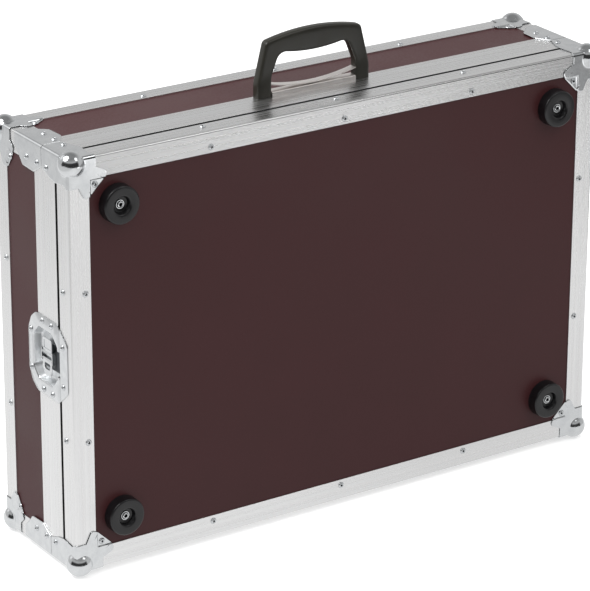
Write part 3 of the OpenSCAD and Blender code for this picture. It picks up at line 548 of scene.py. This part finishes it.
def fan(outline, cranked):
    """Grid of points between the corner and an outline, as polar rays: rows go outward, columns round it.

    The rays go to every outline point and to points between them no more than RAY_GAP apart. Rows are closer
    together near the ball and, on a ray that crosses the step of a cranked lobe, along that step. The last
    rows turn down over the plate's edge by a quarter circle.
    """
    lengths = np.linalg.norm(np.diff(outline, axis=0), axis=1)
    steps = np.maximum(1, np.ceil(lengths / RAY_GAP)).astype(int)
    rim = np.concatenate([a + (b - a) * np.linspace(0, 1, n + 1)[:-1, None]
                          for a, b, n in zip(outline[:-1], outline[1:], steps)] + [outline[-1:]])
    corner = np.array([-STEEL, -STEEL])
    reach = np.linalg.norm(rim - corner, axis=1)
    r = np.linspace(0, 1, RINGS)[:, None]
    row = r ** 1.25 + 0 * reach
    near = rim.min(axis=1) + STEEL
    step0, step1 = (STEP_AT + STEEL) / near, (STEP_AT + STEP_WIDE + STEEL) / near
    before = KNEE_AT + (step0 - KNEE_AT) * (r - KNEE) / (STARTS - KNEE)
    along = step0 + (step1 - step0) * (r - STARTS) / (ENDS - STARTS)
    after = step1 + (1 - step1) * (r - ENDS) / (1 - ENDS)
    crossed = np.select([r < KNEE, r < STARTS, r < ENDS], [row, before, along], after)
    row = np.where(cranked & (step1 < 0.98), crossed, row) * (1 - EDGE_DROP / reach)
    quarter = np.radians([30, 60, 90])
    edge = (1 - EDGE_DROP / reach) + EDGE_DROP / reach * np.sin(quarter)[:, None]
    drop = EDGE_DROP * (1 - np.cos(quarter))
    share = np.concatenate([row, edge])
    sunk = np.concatenate([np.zeros(RINGS), drop])[:, None] + np.zeros(len(rim))
    flat = corner + share[:, :, None] * (rim - corner)
    return flat, sunk


def pressed(flat, sunk, first, second, normal):
    """Lifts flat plate points into space, rounds the folds and presses the ball.

    Fold: with q the nearest point of the solid that starts FOLD_R in, the point goes to q + FOLD_R times the
    unit vector from q. Ball: with d the distance to the ball's centre, r = BALL_R and j = JOIN, the point goes
    out to the soft maximum (d + r + sqrt((d - r)^2 + j^2)) / 2 - j^2 / (4 (|d - r| + j)).
    """
    p = np.empty(flat.shape[:2] + (3,))
    p[..., first], p[..., second], p[..., normal] = flat[..., 0], flat[..., 1], -STEEL
    inner = np.maximum(p, FOLD_R - STEEL)
    away = p - inner
    p = inner + away / np.linalg.norm(away, axis=-1, keepdims=True) * FOLD_R
    p[..., normal] += sunk
    out = p - BALL_INSET
    d = np.linalg.norm(out, axis=-1, keepdims=True)
    over = d - BALL_R
    soft = (d + BALL_R + np.sqrt(over ** 2 + JOIN ** 2)) / 2 - JOIN ** 2 / (4 * np.abs(over) + 4 * JOIN)
    return BALL_INSET + out / d * np.where(over > BALL_REACH, d, soft)


def ball_corner(name, vertical, horizontal, back, body):
    """One corner: three fans that share their edges, welded into one sheet and given its wall.

    A back corner has three cranked lobes; a front one has a lobe on the front face and two flat lugs.
    """
    side_outline = lobe_outline(49, 57) if back else lug_outline()
    plates = [(lobe_outline(57, 57), True, 0, 2, 1), (side_outline, back, 1, 2, 0),
              (side_outline, back, 1, 0, 2)]
    fans = []
    for outline, cranked, i, j, k in plates:
        flat, sunk = fan(outline, cranked)
        if cranked:
            s = np.clip((flat.min(axis=-1) - STEP_AT) / STEP_WIDE, 0, 1)
            sunk = sunk + SHEET * s * s * (3 - 2 * s)
        fans.append((pressed(flat, sunk, i, j, k).reshape(-1, 3), grid_faces(*flat.shape[:2])))
    points, faces = joined(fans)
    points = placed(at_corner(points, vertical, horizontal, back))
    made = piece(name, points, faces, zinc, body, [name], sharp=50, weld=0.00002)
    thickened(made, 1.15)
    return made


for v, h in CORNERS:
    ball_corner(f"base_corner_{v}_{h}", v, h, False, "base")
    corner = ball_corner(f"lid_corner_{v}_{h}", v, h, True, "lid")
print("faces in one ball corner:", len(corner.data.polygons))

# %% [markdown]
# ## Corner braces
# Behind each lug a plate is folded over the long edge of the lid. Its width changes along the edge, so it is
# a grid: rows along the case's depth, columns across the fold, and the fold itself a quarter circle.

# %% Corner braces
BRACE_START, BRACE_END = 67.1, 136.0
BRACE_ROWS, BRACE_COLUMNS, FOLD_COLUMNS = 40, 24, 7


def brace_sheet():
    """Half the sheet is a fold of 45 degrees and a leg as wide as the outline at that y; then it is mirrored.

    On the fold a = c - r sin(45 - t) and b = c - r cos(45 - t), with r = FOLD_R and c = FOLD_R - STEEL.
    """
    y0, y1 = BRACE_START, BRACE_END
    rim = rounded([(y0, 0, 0), (y0, 28, 1), (y0 + 20.5, 40.5, 6), (y1 - 20, 39, 6), (y1 - 11.5, 29, 4),
                   (y1, 18, 3), (y1, 0, 0)])
    y = np.unique(np.concatenate([np.linspace(y0, y1, BRACE_ROWS), rim[:, 0]]))
    width = np.interp(y, rim[1:-1, 0], rim[1:-1, 1])
    centre, eighth = FOLD_R - STEEL, np.pi / 4
    out = np.concatenate([np.zeros(FOLD_COLUMNS), np.linspace(0, 1, BRACE_COLUMNS)[1:]])
    angle = np.concatenate([np.linspace(0, eighth, FOLD_COLUMNS), np.full(BRACE_COLUMNS - 1, eighth)])
    along = centre + out[None, :] * (width - centre)[:, None]
    a = np.where(out > 0, along, centre - FOLD_R * np.sin(eighth - angle))
    b = np.where(out > 0, -STEEL + 0 * along, centre - FOLD_R * np.cos(eighth - angle))
    half = np.stack([b, np.broadcast_to(y[:, None], a.shape), a], -1)
    other = half[:, :0:-1][..., [2, 1, 0]]
    return np.concatenate([other, half], 1)


sheet = brace_sheet()
for v, h in CORNERS:
    name = f"lid_brace_{v}_{h}"
    points = placed(at_corner(sheet.reshape(-1, 3), v, h, False))
    made = piece(name, points, grid_faces(*sheet.shape[:2]), zinc, "lid", [name])
    thickened(made, 1.4)
print("brace grid:", sheet.shape[:2])

# %% [markdown]
# ## Rivets
# Everything is held by blind rivets: a low dome with the broken pin deep in its middle, whose hole is painted
# near black as painted shade. One turned profile is worked out once and set at every place at the same time, as
# one array.

# %% Rivet places
RIVET_PITCH, RIVET_IN = 209.0, 21.75
LOBE_RIVET, LUG_RIVET, LEG_RIVET, BRACE_RIVETS = 38.5, 54, 25, (78, 105)
KEEPER_RIVET, DISH_RIVETS, PLATE_PROUD = (23.5, 28), ((106, 27), (75.5, 48.5), (52, 48.5)), 1.2


def case_rivets():
    """Centre and outward normal of every rivet, for the base and the lid, from the same numbers as the CAD."""
    base, lid = [], []
    half_pitch, edge_middle = RIVET_PITCH / 2, (LEG + SHEET) / 2
    face = [(x, z) for x in (-RIVET_PITCH, 0, RIVET_PITCH) for z in (RIVET_IN, HEIGHT - RIVET_IN)]
    middle = (HEIGHT / 2 - half_pitch, HEIGHT / 2 + half_pitch)
    face += [(x, z) for x in (RIVET_IN - HALF, HALF - RIVET_IN) for z in middle]
    for x, z in face:
        base.append(((x, 0, z), (0, -1, 0)))
        lid.append(((x, DEPTH, z), (0, 1, 0)))
    for side in SIDES:
        normal = {"bottom": (0, 0, -1), "top": (0, 0, 1), "left": (-1, 0, 0), "right": (1, 0, 0)}[side]
        long_side = side in ("bottom", "top")
        for along in ((-RIVET_PITCH, 0, RIVET_PITCH) if long_side else (-half_pitch, half_pitch)):
            base.append((on_side(side, along, RIVET_IN - 1, 0), normal))
            lid.append((on_side(side, along, DEPTH - edge_middle - 4, 0), normal))
    for v, h in CORNERS:
        down, out = (-1 if v == "bottom" else 1), (-1 if h == "left" else 1)
        base.append((at_corner((LOBE_RIVET, 0, LOBE_RIVET), v, h, False), (0, -1, 0)))
        base.append((at_corner((-STEEL, LUG_RIVET, LEG_RIVET), v, h, False), (out, 0, 0)))
        base.append((at_corner((LEG_RIVET, LUG_RIVET, -STEEL), v, h, False), (0, 0, down)))
        lid.append((at_corner((LOBE_RIVET, 0, LOBE_RIVET), v, h, True), (0, 1, 0)))
        lid.append((at_corner((0, LOBE_RIVET, LOBE_RIVET), v, h, True), (out, 0, 0)))
        lid.append((at_corner((LOBE_RIVET, LOBE_RIVET, 0), v, h, True), (0, 0, down)))
        for y in BRACE_RIVETS:
            lid.append((at_corner((-STEEL, y, LEG_RIVET), v, h, False), (out, 0, 0)))
            lid.append((at_corner((LEG_RIVET, y, -STEEL), v, h, False), (0, 0, down)))
    for out in (-1, 1):
        x = out * (HALF + PLATE_PROUD)
        for z in (-1, 1):
            base.append(((x, KEEPER_RIVET[0], LATCH_Z + z * KEEPER_RIVET[1]), (out, 0, 0)))
            for y, dz in DISH_RIVETS:
                lid.append(((x, y, LATCH_Z + z * dz), (out, 0, 0)))
    return base, lid


def turned(profile, steps):
    """Turns (radius, height) points about the height axis: x = r cos t, y = r sin t, z = height."""
    angle = np.arange(steps) * 2 * np.pi / steps
    r, h = np.array(profile, float).T
    ring = np.stack([r[:, None] * np.cos(angle), r[:, None] * np.sin(angle), h[:, None] + 0 * angle], -1)
    return ring.reshape(-1, 3), grid_faces(len(r), steps, wrap=True)


def facing(normal):
    """3 x 3 matrix whose third row is the outward normal."""
    n = np.array(normal, float)
    side = np.cross(n, [0, 0, 1]) if abs(n[2]) < 0.5 else np.array([1.0, 0, 0])
    return np.stack([side, np.cross(n, side), n])


# %% Rivets
# The profile goes from the bottom of the pin hole over the dome and back under it. Its first rows, inside the
# hole, get the painted shade.
DARK_ROWS = 2
RIVET = [(0.001, -0.2), (1.4, -0.2), (1.5, 1.2), (1.7, 1.8), (2.1, 1.95), (2.7, 1.9), (3.3, 1.6), (3.9, 1.05),
         (4.4, 0.4), (4.5, 0.0), (4.5, -0.3), (0.001, -0.3)]


def pin_holed(made, rows, steps, count):
    """Gives the first rows of each of count turned profiles, those inside the hole, the painted shade."""
    made.data.materials.append(hole_painted_shade)
    row = np.tile(np.repeat(np.arange(rows), steps), count)
    made.data.polygons.foreach_set("material_index", (row < DARK_ROWS).astype(np.int32))


def rivets(name, places, body, steps=20):
    """Every rivet of one body in one mesh: the turned points, each time under another facing and centre."""
    one, faces = turned(RIVET, steps)
    turn = np.stack([facing(normal) for _, normal in places])
    centre = np.stack([np.asarray(c, float) for c, _ in places])
    points = np.einsum("pk,rkj->rpj", one, turn) + centre[:, None]
    every = (faces[None] + np.arange(len(places))[:, None, None] * len(one)).reshape(-1, 4)
    made = piece(name, placed(points.reshape(-1, 3)), every, rivet_steel, body, [name], sharp=60)
    pin_holed(made, len(RIVET) - 1, steps, len(places))


base_places, lid_places = case_rivets()
rivets("base_rivets", base_places, "base")
rivets("lid_rivets", lid_places, "lid")
print("rivets:", len(base_places), "on the base,", len(lid_places), "on the lid")

# %% [markdown]
# ## Feet
# Four turned rubber feet carry the case when it lies down. Each has a rounded rim, a chamfered recess and a
# screw with a washer at the bottom of it. A turned part is a profile and a full turn, nothing more.

# %% Feet
FOOT_X, FOOT_Z = HALF - 71, 70.0
FOOT_R, FOOT_EDGE, FOOT_TOP = 25.9, 2.4, 14.5
FOOT = [(3.0, -1.5), (26.5, -1.5), (26.5, 0.6),
        *arc((FOOT_R - FOOT_EDGE, FOOT_TOP - FOOT_EDGE), FOOT_EDGE, 0, 90, 7).tolist(),
        (14.6, FOOT_TOP), (13.4, 14.2), (12.4, 13.2), (11.6, 11.6), (10.7, 6.9), (10.2, 6.5), (3.0, 6.5)]
SCREW = [(0.001, 5.2), (2.4, 5.2), (2.4, 8.7), (2.9, 9.3), (3.7, 9.4), (4.5, 8.9), (5.0, 7.9), (5.1, 7.5),
         (6.0, 7.5), (6.2, 7.3), (6.2, 6.5), (2.8, 6.5), (2.8, -7.0), (0.001, -7.0)]
SCREW_STEPS = 32


def front_turned(profile, x, z, steps=64):
    """A turned part whose axis points out of the front face at (x, z); height 0 is the aluminium face."""
    one, faces = turned(profile, steps)
    return one @ facing((0, -1, 0)) + [x, 0, z], faces


four_screws = []
for v, h in CORNERS:
    x = FOOT_X * (-1 if h == "left" else 1)
    z = FOOT_Z if v == "bottom" else HEIGHT - FOOT_Z
    points, faces = front_turned([*FOOT, FOOT[0]], x, z)
    piece(f"foot_{v}_{h}", placed(points), faces, rubber, "base", [f"foot_{v}_{h}"], sharp=40)
    four_screws.append(front_turned(SCREW, x, z, SCREW_STEPS))
points, faces = joined(four_screws)
screws = piece("foot_screws", placed(points), faces, zinc, "base", ["foot_screws"])
# The socket of each screw gets the painted shade too.
pin_holed(screws, len(SCREW) - 1, SCREW_STEPS, len(CORNERS))
print("feet: 4, each", FOOT[1][0] * 2, "mm across")

# %% [markdown]
# ## Handle
# The handle is one moulding: two legs that lean in and an arched grip with a soft belly under it. It is made
# by carrying a section along it. At each station an outer and an inner point give the section's height, the
# thickness is constant, and the section is a squarish oval, the superellipse.

# %% Bars carried along a line
GRIP_HALF = 7.5
HANDLE_Y = CLOSING_BACK - GRIP_HALF - 0.2


def even(line, count):
    """count points equally spaced along a polyline."""
    far = np.concatenate([[0], np.cumsum(np.linalg.norm(np.diff(line, axis=0), axis=1))])
    at = np.linspace(0, far[-1], count)
    return np.stack([np.interp(at, far, line[:, k]) for k in (0, 1)], -1)


def mirrored_line(half_line):
    """A line from the left foot to the middle, and its mirror image on to the right foot."""
    return np.concatenate([half_line, half_line[::-1][1:] * [-1, 1]])


def superellipse(count, power):
    """(a, b) with |a|^power + |b|^power = 1, from cos and sin raised to 2 / power."""
    t = np.arange(count) * 2 * np.pi / count
    c, s = np.cos(t), np.sin(t)
    return np.sign(c) * np.abs(c) ** (2 / power), np.sign(s) * np.abs(s) ** (2 / power)


def arc_radius(half_chord, rise):
    """Radius of an arc over a chord: (half chord squared + rise squared) / (2 rise)."""
    return (half_chord ** 2 + rise ** 2) / (2 * rise)


def carried(name, middle, arm, half_y, oval, material):
    """A bar of the handle: a station's points are middle + a arm, at y = HANDLE_Y + b half_y."""
    a, b = oval
    flat = middle[:, None] + arm[:, None] * a[None, :, None]
    bar = np.stack([flat[..., 0], HANDLE_Y + half_y * b + 0 * flat[..., 0], HEIGHT + flat[..., 1]], -1)
    rows, columns = flat.shape[:2]
    caps = [list(range(columns)), list(range((rows - 1) * columns, rows * columns))]
    faces = [*grid_faces(rows, columns, wrap=True).tolist(), *caps]
    piece(name, placed(bar.reshape(-1, 3)), faces, material, "lid", [name], sharp=60)
    return bar


# %% Handle
CROWN, ARCH_HALF, ARCH_RISE = 86.5, 76, 9.5
BELLY, BELLY_HALF, BELLY_SAG = 54.5, 46, 4.5
STATIONS = 160

top_r, belly_r = arc_radius(ARCH_HALF, ARCH_RISE), arc_radius(BELLY_HALF, BELLY_SAG)
arch = arc((0, CROWN - top_r), top_r, 90 + math.degrees(math.asin(ARCH_HALF / top_r)), 90, 19)
outer_line = rounded([(-90, 0, 0), (-90, 20, 30), (*arch[0], 7), *[(x, z, 0) for x, z in arch[1:]]])
belly = [(x, BELLY + belly_r - math.sqrt(belly_r ** 2 - x * x)) for x in np.linspace(2 - BELLY_HALF, 0, 16)]
inner_line = rounded([(-67.5, 0, 0), (-67.5, 28, 30), (-54.5, 59.5, 14), *[(x, z, 0) for x, z in belly]])
outer_line, inner_line = (even(mirrored_line(line), STATIONS) for line in (outer_line, inner_line))
middle, arm = (outer_line + inner_line) / 2, (outer_line - inner_line) / 2
handle = carried("handle_grip", middle, arm, GRIP_HALF, superellipse(48, 5), nylon)
print("handle rises", round(handle[..., 2].max() - HEIGHT, 1), "mm above the lid")

# %% [markdown]
# A bowed strap of spring steel runs between the legs. Its middle line is an arc, and its section a flat bar
# with rounded edges, so it too is a section carried along a line.

# %% Strap
STRAP_HALF_THICK, STRAP_HALF_WIDE, STRAP_LOW = 0.75, 6, 9
strap_r = arc_radius(67.5, 8)
x = np.linspace(-74.5, 74.5, 60)
rise = STRAP_LOW + strap_r - np.sqrt(strap_r ** 2 - x ** 2)
slope = x / np.sqrt(strap_r ** 2 - x ** 2)
across = np.stack([-slope, np.ones_like(x)], -1) / np.sqrt(1 + slope ** 2)[:, None]
arm = across * STRAP_HALF_THICK
carried("handle_strap", np.stack([x, rise], -1), arm, STRAP_HALF_WIDE, superellipse(20, 8), strap_steel)
print("strap bows from", round(rise[0], 1), "to", round(rise.min(), 1), "mm above the lid")

# %% [markdown]
# ## Latch dishes
# The dish is the hardest piece to press: a flat flange, a rolled lip, a sloping wall and a floor, all in one
# sheet. Every ring of it is a closed curve round the same centre, so the whole dish is a table of rings, each
# with its depth. A ring's distance from the centre is read off its outline at evenly spaced angles.
# The hook leaves the bowl through a slot in its front. The slot is opened before the sheet gets its wall: the
# sheet is cut along the slot's planes, and the faces between them are taken out.

# %% Latch dishes
DISH_MID, HUB_Y, RAYS = 69.75, 68.5, 160
# The duller bowl, painted lighter as painted light in its recess, starts at this ring. The slot reaches from OUT
# to IN, each as depth into the side, y and z.
BOWL_ROW = 6
SLOT_OUT, SLOT_IN = (-3, 30.9, -18.5), (8.7, 46.5, 18.5)


def ring(outline, count=RAYS):
    """Points where rays from the centre at even angles meet a closed outline of (y, z)."""
    line = np.concatenate([outline, outline[:1]]) - [DISH_MID, 0]
    a, b = line[:-1], line[1:]
    t = np.arange(count) * 2 * np.pi / count
    ray = np.stack([np.cos(t), np.sin(t)], -1)[:, None]
    edge = (b - a)[None]
    cross = ray[..., 0] * edge[..., 1] - ray[..., 1] * edge[..., 0]
    cross = np.where(np.abs(cross) < 1e-9, 1e-9, cross)
    reach = (a[:, 0] * edge[..., 1] - a[:, 1] * edge[..., 0]) / cross
    share = (a[:, 0] * ray[..., 1] - a[:, 1] * ray[..., 0]) / cross
    hit = (share >= -1e-6) & (share <= 1 + 1e-6) & (reach > 0)
    far = np.where(hit, reach, 0).max(axis=1)
    return ray[:, 0] * far[:, None] + [DISH_MID, 0]


def both_ways(half):
    """An outline from the corners on its negative z side."""
    return rounded([*half, *[(y, -z, r) for y, z, r in half[::-1]]])


def flange(i):
    """Outline of the dish's plate, drawn in by i."""
    return both_ways([(31.9 + i, -52 + i, 3), (36.9 + i, -56 + i, 3), (92 - i, -56 + i, 14),
                      (105.5 - i, -45.5 + i, 14), (113 - i, -29 + i, 14)])


def mouth(i):
    """Outline of the bowl, i in from its mouth."""
    cut = 14 - i * 0.5
    return both_ways([(38.5 + i, -37 + i + cut, 5), (38.5 + i + cut, -37 + i, 5), (101 - i - cut, -37 + i, 8),
                      (101 - i, -37 + i + cut, 8)])


def hub_hole(radius):
    """A circle round the turning axis."""
    return arc((HUB_Y, 0), radius, 0, 360, 48)[:-1]


def slotted(mesh, outward):
    """Takes the faces inside the slot out of a dish's sheet, and turns the sheet's faces outward again."""
    low, high = (placed((outward * (HALF - depth), y, LATCH_Z + z)) for depth, y, z in (SLOT_OUT, SLOT_IN))
    work = bmesh.new()
    work.from_mesh(mesh)
    for corner, axis in ((low, 2), (high, 2), (high, 1), (high, 0)):
        bmesh.ops.bisect_plane(work, geom=[*work.verts, *work.edges, *work.faces], plane_co=corner,
                               plane_no=np.eye(3)[axis], dist=0.0000001)
    centres = np.array([face.calc_center_median() for face in work.faces])
    inside = np.all((centres > np.minimum(low, high)) & (centres < np.maximum(low, high)), axis=1)
    gone = [face for face, hit in zip(list(work.faces), inside) if hit]
    bmesh.ops.delete(work, geom=gone, context="FACES")
    work.faces.ensure_lookup_table()
    outermost = max(work.faces, key=lambda face: face.calc_center_median()[0] * outward)
    if outermost.normal[0] * outward < 0:
        bmesh.ops.reverse_faces(work, faces=work.faces)
    work.to_mesh(mesh)
    work.free()


def pressed_dish(name, outward):
    """The rings from the flange's edge over lip and bowl to the hole for the shaft, with their depths."""
    rings = [(flange(0), -0.1), (flange(0), -0.8), (flange(0.4), -1.2), (mouth(-2.0), -1.2),
             (mouth(-1.1), -1.05), (mouth(-0.4), -0.6), (mouth(0), 0.1), (mouth(0.3), 1.2), (mouth(2.4), 8.6),
             (mouth(3.1), 10.6), (mouth(4.3), 11.7), (mouth(6.2), 12.0), (mouth(12), 12.0),
             (hub_hole(8), 12.0), (hub_hole(4.2), 12.0)]
    rows = np.stack([ring(outline) for outline, _ in rings])
    depth = np.array([d for _, d in rings])[:, None] + 0 * rows[..., 0]
    points = np.stack([outward * (HALF - depth), rows[..., 0], LATCH_Z + rows[..., 1]], -1).reshape(-1, 3)
    made = piece(name, placed(points), grid_faces(len(rings), RAYS, wrap=True), zinc, "lid", [name], sharp=50)
    # Faces from BOWL_ROW on get the lighter bowl finish: painted light.
    made.data.materials.append(bowl_painted_light)
    row = np.repeat(np.arange(len(rings) - 1), RAYS)
    made.data.polygons.foreach_set("material_index", (row >= BOWL_ROW).astype(np.int32))
    slotted(made.data, outward)
    thickened(made, 1.1)
    return made


for h, outward in (("left", -1), ("right", 1)):
    dish = pressed_dish(f"latch_dish_{h}", outward)
print("faces in one dish:", len(dish.data.polygons))

# %% [markdown]
# ## Latches
# The other latch parts are already right in the CAD model, but pressed steel has no knife edges. A copy of
# each mesh has its loose triangles joined, its flat faces merged, and a narrow bevel set along every edge.

# %% Latches
def softened(name, body, width, segments=2, finish=zinc):
    """A copy of a CAD node with its triangles joined and its edges rounded by width millimetres."""
    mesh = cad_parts[name].data.copy()
    work = bmesh.new()
    work.from_mesh(mesh)
    bmesh.ops.remove_doubles(work, verts=work.verts, dist=0.00001)
    bmesh.ops.dissolve_limit(work, angle_limit=math.radians(1), verts=work.verts, edges=work.edges)
    work.to_mesh(mesh)
    work.free()
    mesh.materials.clear()
    mesh.materials.append(finish)
    mesh.shade_smooth()
    mesh.set_sharp_from_angle(angle=math.radians(35))
    made = bpy.data.objects.new(name + "_steel", mesh)
    scene.collection.objects.link(made)
    bevel = made.modifiers.new("edges", "BEVEL")
    bevel.width, bevel.segments, bevel.limit_method = width * MM, segments, "ANGLE"
    bevel.angle_limit = math.radians(35)
    bevel.harden_normals = True
    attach(made, body)
    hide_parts(name)
    return made


for h in ("left", "right"):
    softened(f"keeper_{h}", "base", 0.4)
    softened(f"latch_hub_{h}", f"latch_hub_{h}", 0.3)
    # The hook carries the painted shade of its slot.
    softened(f"latch_hook_{h}", f"latch_hook_{h}", 0.3, finish=hook_painted_shade)
    for wing in ("upper", "lower"):
        softened(f"wing_{wing}_{h}", f"wing_{wing}_{h}", 0.35)
softened("handle_bridge", "lid", 0.3, finish=strap_steel)
print("latches and bridge softened")

# %% [markdown]
# ## Boards and hidden parts
# What stays as its CAD mesh gets its finish here: the boards their film, and the bolts inside the lid their
# plating.

# %% Boards
for name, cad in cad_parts.items():
    if name.startswith(("base_panel", "base_rim", "lid_back_panel", "lid_wall")):
        finish = film
    elif name == "handle_bolts":
        finish = zinc
    else:
        continue
    cad.data.materials.clear()
    cad.data.materials.append(finish)
print("boards finished")

# %% [markdown]
# ## Studio
# The photograph was taken in a bright tent: white all round, two lamps high up on either side of the camera,
# and one dark gap where the camera looks in. The metal shows that room, so the world is painted like it for
# reflections, while the camera sees plain white. The floor is a real one and keeps the case's shadow. In
# reflections it glows unevenly, as paper under two lamps does: by a ramp along x, and by a bright pool of light
# in front of the case's right end, which the aluminium at the top of the front face mirrors.

# %% World
world = bpy.data.worlds.new("studio")
scene.world = world
world.use_nodes = True
tree = world.node_tree
tree.nodes.clear()
ray = add(tree, "TexCoord").outputs["Generated"]
apart = add(tree, "SeparateXYZ", {0: ray})
# The tent's walls get darker with height.
height = add(tree, "MapRange", {"Value": apart.outputs[2], "From Min": 0.4, "From Max": 0.85, "To Min": 0.62,
                                "To Max": 0.26}).outputs[0]
# The gap is dark toward the camera and low down.
toward = add(tree, "VectorMath", {0: ray, 1: (-math.sin(YAW), -math.cos(YAW), 0)}, operation="DOT_PRODUCT")
beside = add(tree, "MapRange", {"Value": toward.outputs["Value"], "From Min": 0.12, "From Max": 0.3,
                                "To Max": 0.95}, interpolation_type="SMOOTHSTEP").outputs[0]
below = add(tree, "MapRange", {"Value": apart.outputs[2], "From Min": 0.4, "From Max": 0.5, "To Min": 1.0,
                               "To Max": 0.0}, interpolation_type="SMOOTHSTEP").outputs[0]
dark = add(tree, "Math", {0: beside, 1: below}, operation="MULTIPLY").outputs[0]
gap = add(tree, "Math", {0: 1.0, 1: dark}, operation="SUBTRACT").outputs[0]
# A bright patch high up behind the case shows in the round edge between its left side and its top.
PATCH = (-0.374, 0.773, 0.513)
behind = add(tree, "VectorMath", {0: ray, 1: PATCH}, operation="DOT_PRODUCT").outputs["Value"]
strip = add(tree, "MapRange", {"Value": behind, "From Min": 0.95, "From Max": 0.985, "To Max": 0.5},
            interpolation_type="SMOOTHSTEP").outputs[0]
walls = add(tree, "Math", {0: height, 1: gap}, operation="MULTIPLY").outputs[0]
mirrored = add(tree, "Math", {0: walls, 1: strip}, operation="ADD").outputs[0]
# Mirrored rays see that room, soft ones a light that grows upward, and the camera plain white.
path = add(tree, "LightPath")
sharp_ray = add(tree, "Math", {0: path.outputs["Is Glossy Ray"], 1: path.outputs["Is Transmission Ray"]},
                operation="MAXIMUM").outputs[0]
soft = add(tree, "MapRange", {"Value": apart.outputs[2], "To Min": 0.55, "To Max": 1.5}).outputs[0]
lit = add(tree, "Mix", {0: sharp_ray, 2: soft, 3: mirrored}, data_type="FLOAT")
seen = add(tree, "Mix", {0: path.outputs["Is Camera Ray"], 2: lit.outputs[0], 3: 1.0}, data_type="FLOAT")
WHITE = (1, 1, 1, 1)
background = add(tree, "Background", {"Color": WHITE, "Strength": seen.outputs[0]})
add(tree, "OutputWorld", {0: background.outputs[0]})
print("world painted")

# %% Lamps
CASE_MIDDLE = (0, 0, 0.29)


def lamp(name, azimuth, elevation, distance, size, power):
    """A round soft lamp that points at the middle of the case, azimuth counted from the camera's side."""
    data = bpy.data.lights.new(name, "AREA")
    data.shape, data.size, data.energy = "DISK", size, power
    made = bpy.data.objects.new(name, data)
    scene.collection.objects.link(made)
    a = math.atan2(-forward[1], -forward[0]) + math.radians(azimuth)
    e = math.radians(elevation)
    away = np.array([math.cos(a) * math.cos(e), math.sin(a) * math.cos(e), math.sin(e)])
    across = np.cross([0, 0, 1], away)
    across /= np.linalg.norm(across)
    turn = np.eye(4)
    turn[:3, 0], turn[:3, 1], turn[:3, 2] = across, np.cross(away, across), away
    turn[:3, 3] = CASE_MIDDLE + away * distance
    made.matrix_world = Matrix(turn.tolist())


lamp("lamp_left", -66, 52, 2.4, 1.3, 34)
lamp("lamp_right", 66, 54, 2.4, 0.9, 4.5)
print("lamps: 2")

# %% Floor
# In reflections, the strength of the paper's glow at places x in metres.
SHINE = ((-1.2, 0.62), (-0.9, 0.84), (-0.5, 0.88), (-0.05, 0.86), (0.2, 0.77), (0.55, 0.76), (1.0, 0.92),
         (1.3, 0.2))
SHINE_FROM, SHINE_TO = -1.2, 1.6
POOL_AT = (0.92, -1.6, 0)

floor_mesh = bpy.data.meshes.new("floor")
floor_mesh.from_pydata([(-9, -2.5, 0), (9, -2.5, 0), (9, 12, 0), (-9, 12, 0)], [], [(0, 1, 2, 3)])
floor = bpy.data.objects.new("floor", floor_mesh)
scene.collection.objects.link(floor)
paper = bpy.data.materials.new("paper_floor")
paper.use_nodes = True
tree = paper.node_tree
tree.nodes.clear()
path = add(tree, "LightPath")
plain = add(tree, "BsdfDiffuse", {"Color": "#E6E6E6"})
dull = add(tree, "BsdfDiffuse", {"Color": "#B3B3B3"})
faint = add(tree, "BsdfDiffuse", {"Color": "#505050"})
spot = add(tree, "TexCoord").outputs["Object"]
place = add(tree, "SeparateXYZ", {0: spot})
share = add(tree, "MapRange", {"Value": place.outputs[0], "From Min": SHINE_FROM, "From Max": SHINE_TO})
ramp = add(tree, "ValToRGB", {0: share.outputs[0]})
ramp.color_ramp.elements.remove(ramp.color_ramp.elements[1])
ramp.color_ramp.elements[0].color = (SHINE[0][1],) * 3 + (1,)
for x, strength in SHINE[1:]:
    ramp.color_ramp.elements.new((x - SHINE_FROM) / (SHINE_TO - SHINE_FROM)).color = (strength,) * 3 + (1,)
aside = add(tree, "VectorMath", {0: spot, 1: POOL_AT}, operation="DISTANCE").outputs["Value"]
pool = add(tree, "MapRange", {"Value": aside, "From Min": 0.2, "From Max": 0.6, "To Min": 1.3, "To Max": 0.0},
           interpolation_type="SMOOTHSTEP").outputs[0]
shine_strength = add(tree, "Math", {0: ramp.outputs[0], 1: pool}, operation="ADD").outputs[0]
seen_glow = add(tree, "Emission", {"Color": WHITE, "Strength": 0.4})
shine_glow = add(tree, "Emission", {"Color": WHITE, "Strength": shine_strength})
seen = add(tree, "AddShader", {0: plain.outputs[0], 1: seen_glow.outputs[0]})
shine = add(tree, "AddShader", {0: faint.outputs[0], 1: shine_glow.outputs[0]})
mirrored = add(tree, "MixShader", {0: path.outputs["Is Glossy Ray"], 1: dull.outputs[0], 2: shine.outputs[0]})
shown = add(tree, "MixShader", {0: path.outputs["Is Camera Ray"], 1: mirrored.outputs[0], 2: seen.outputs[0]})
add(tree, "OutputMaterial", {0: shown.outputs[0]})
floor_mesh.materials.append(paper)
print("floor laid at z = 0")
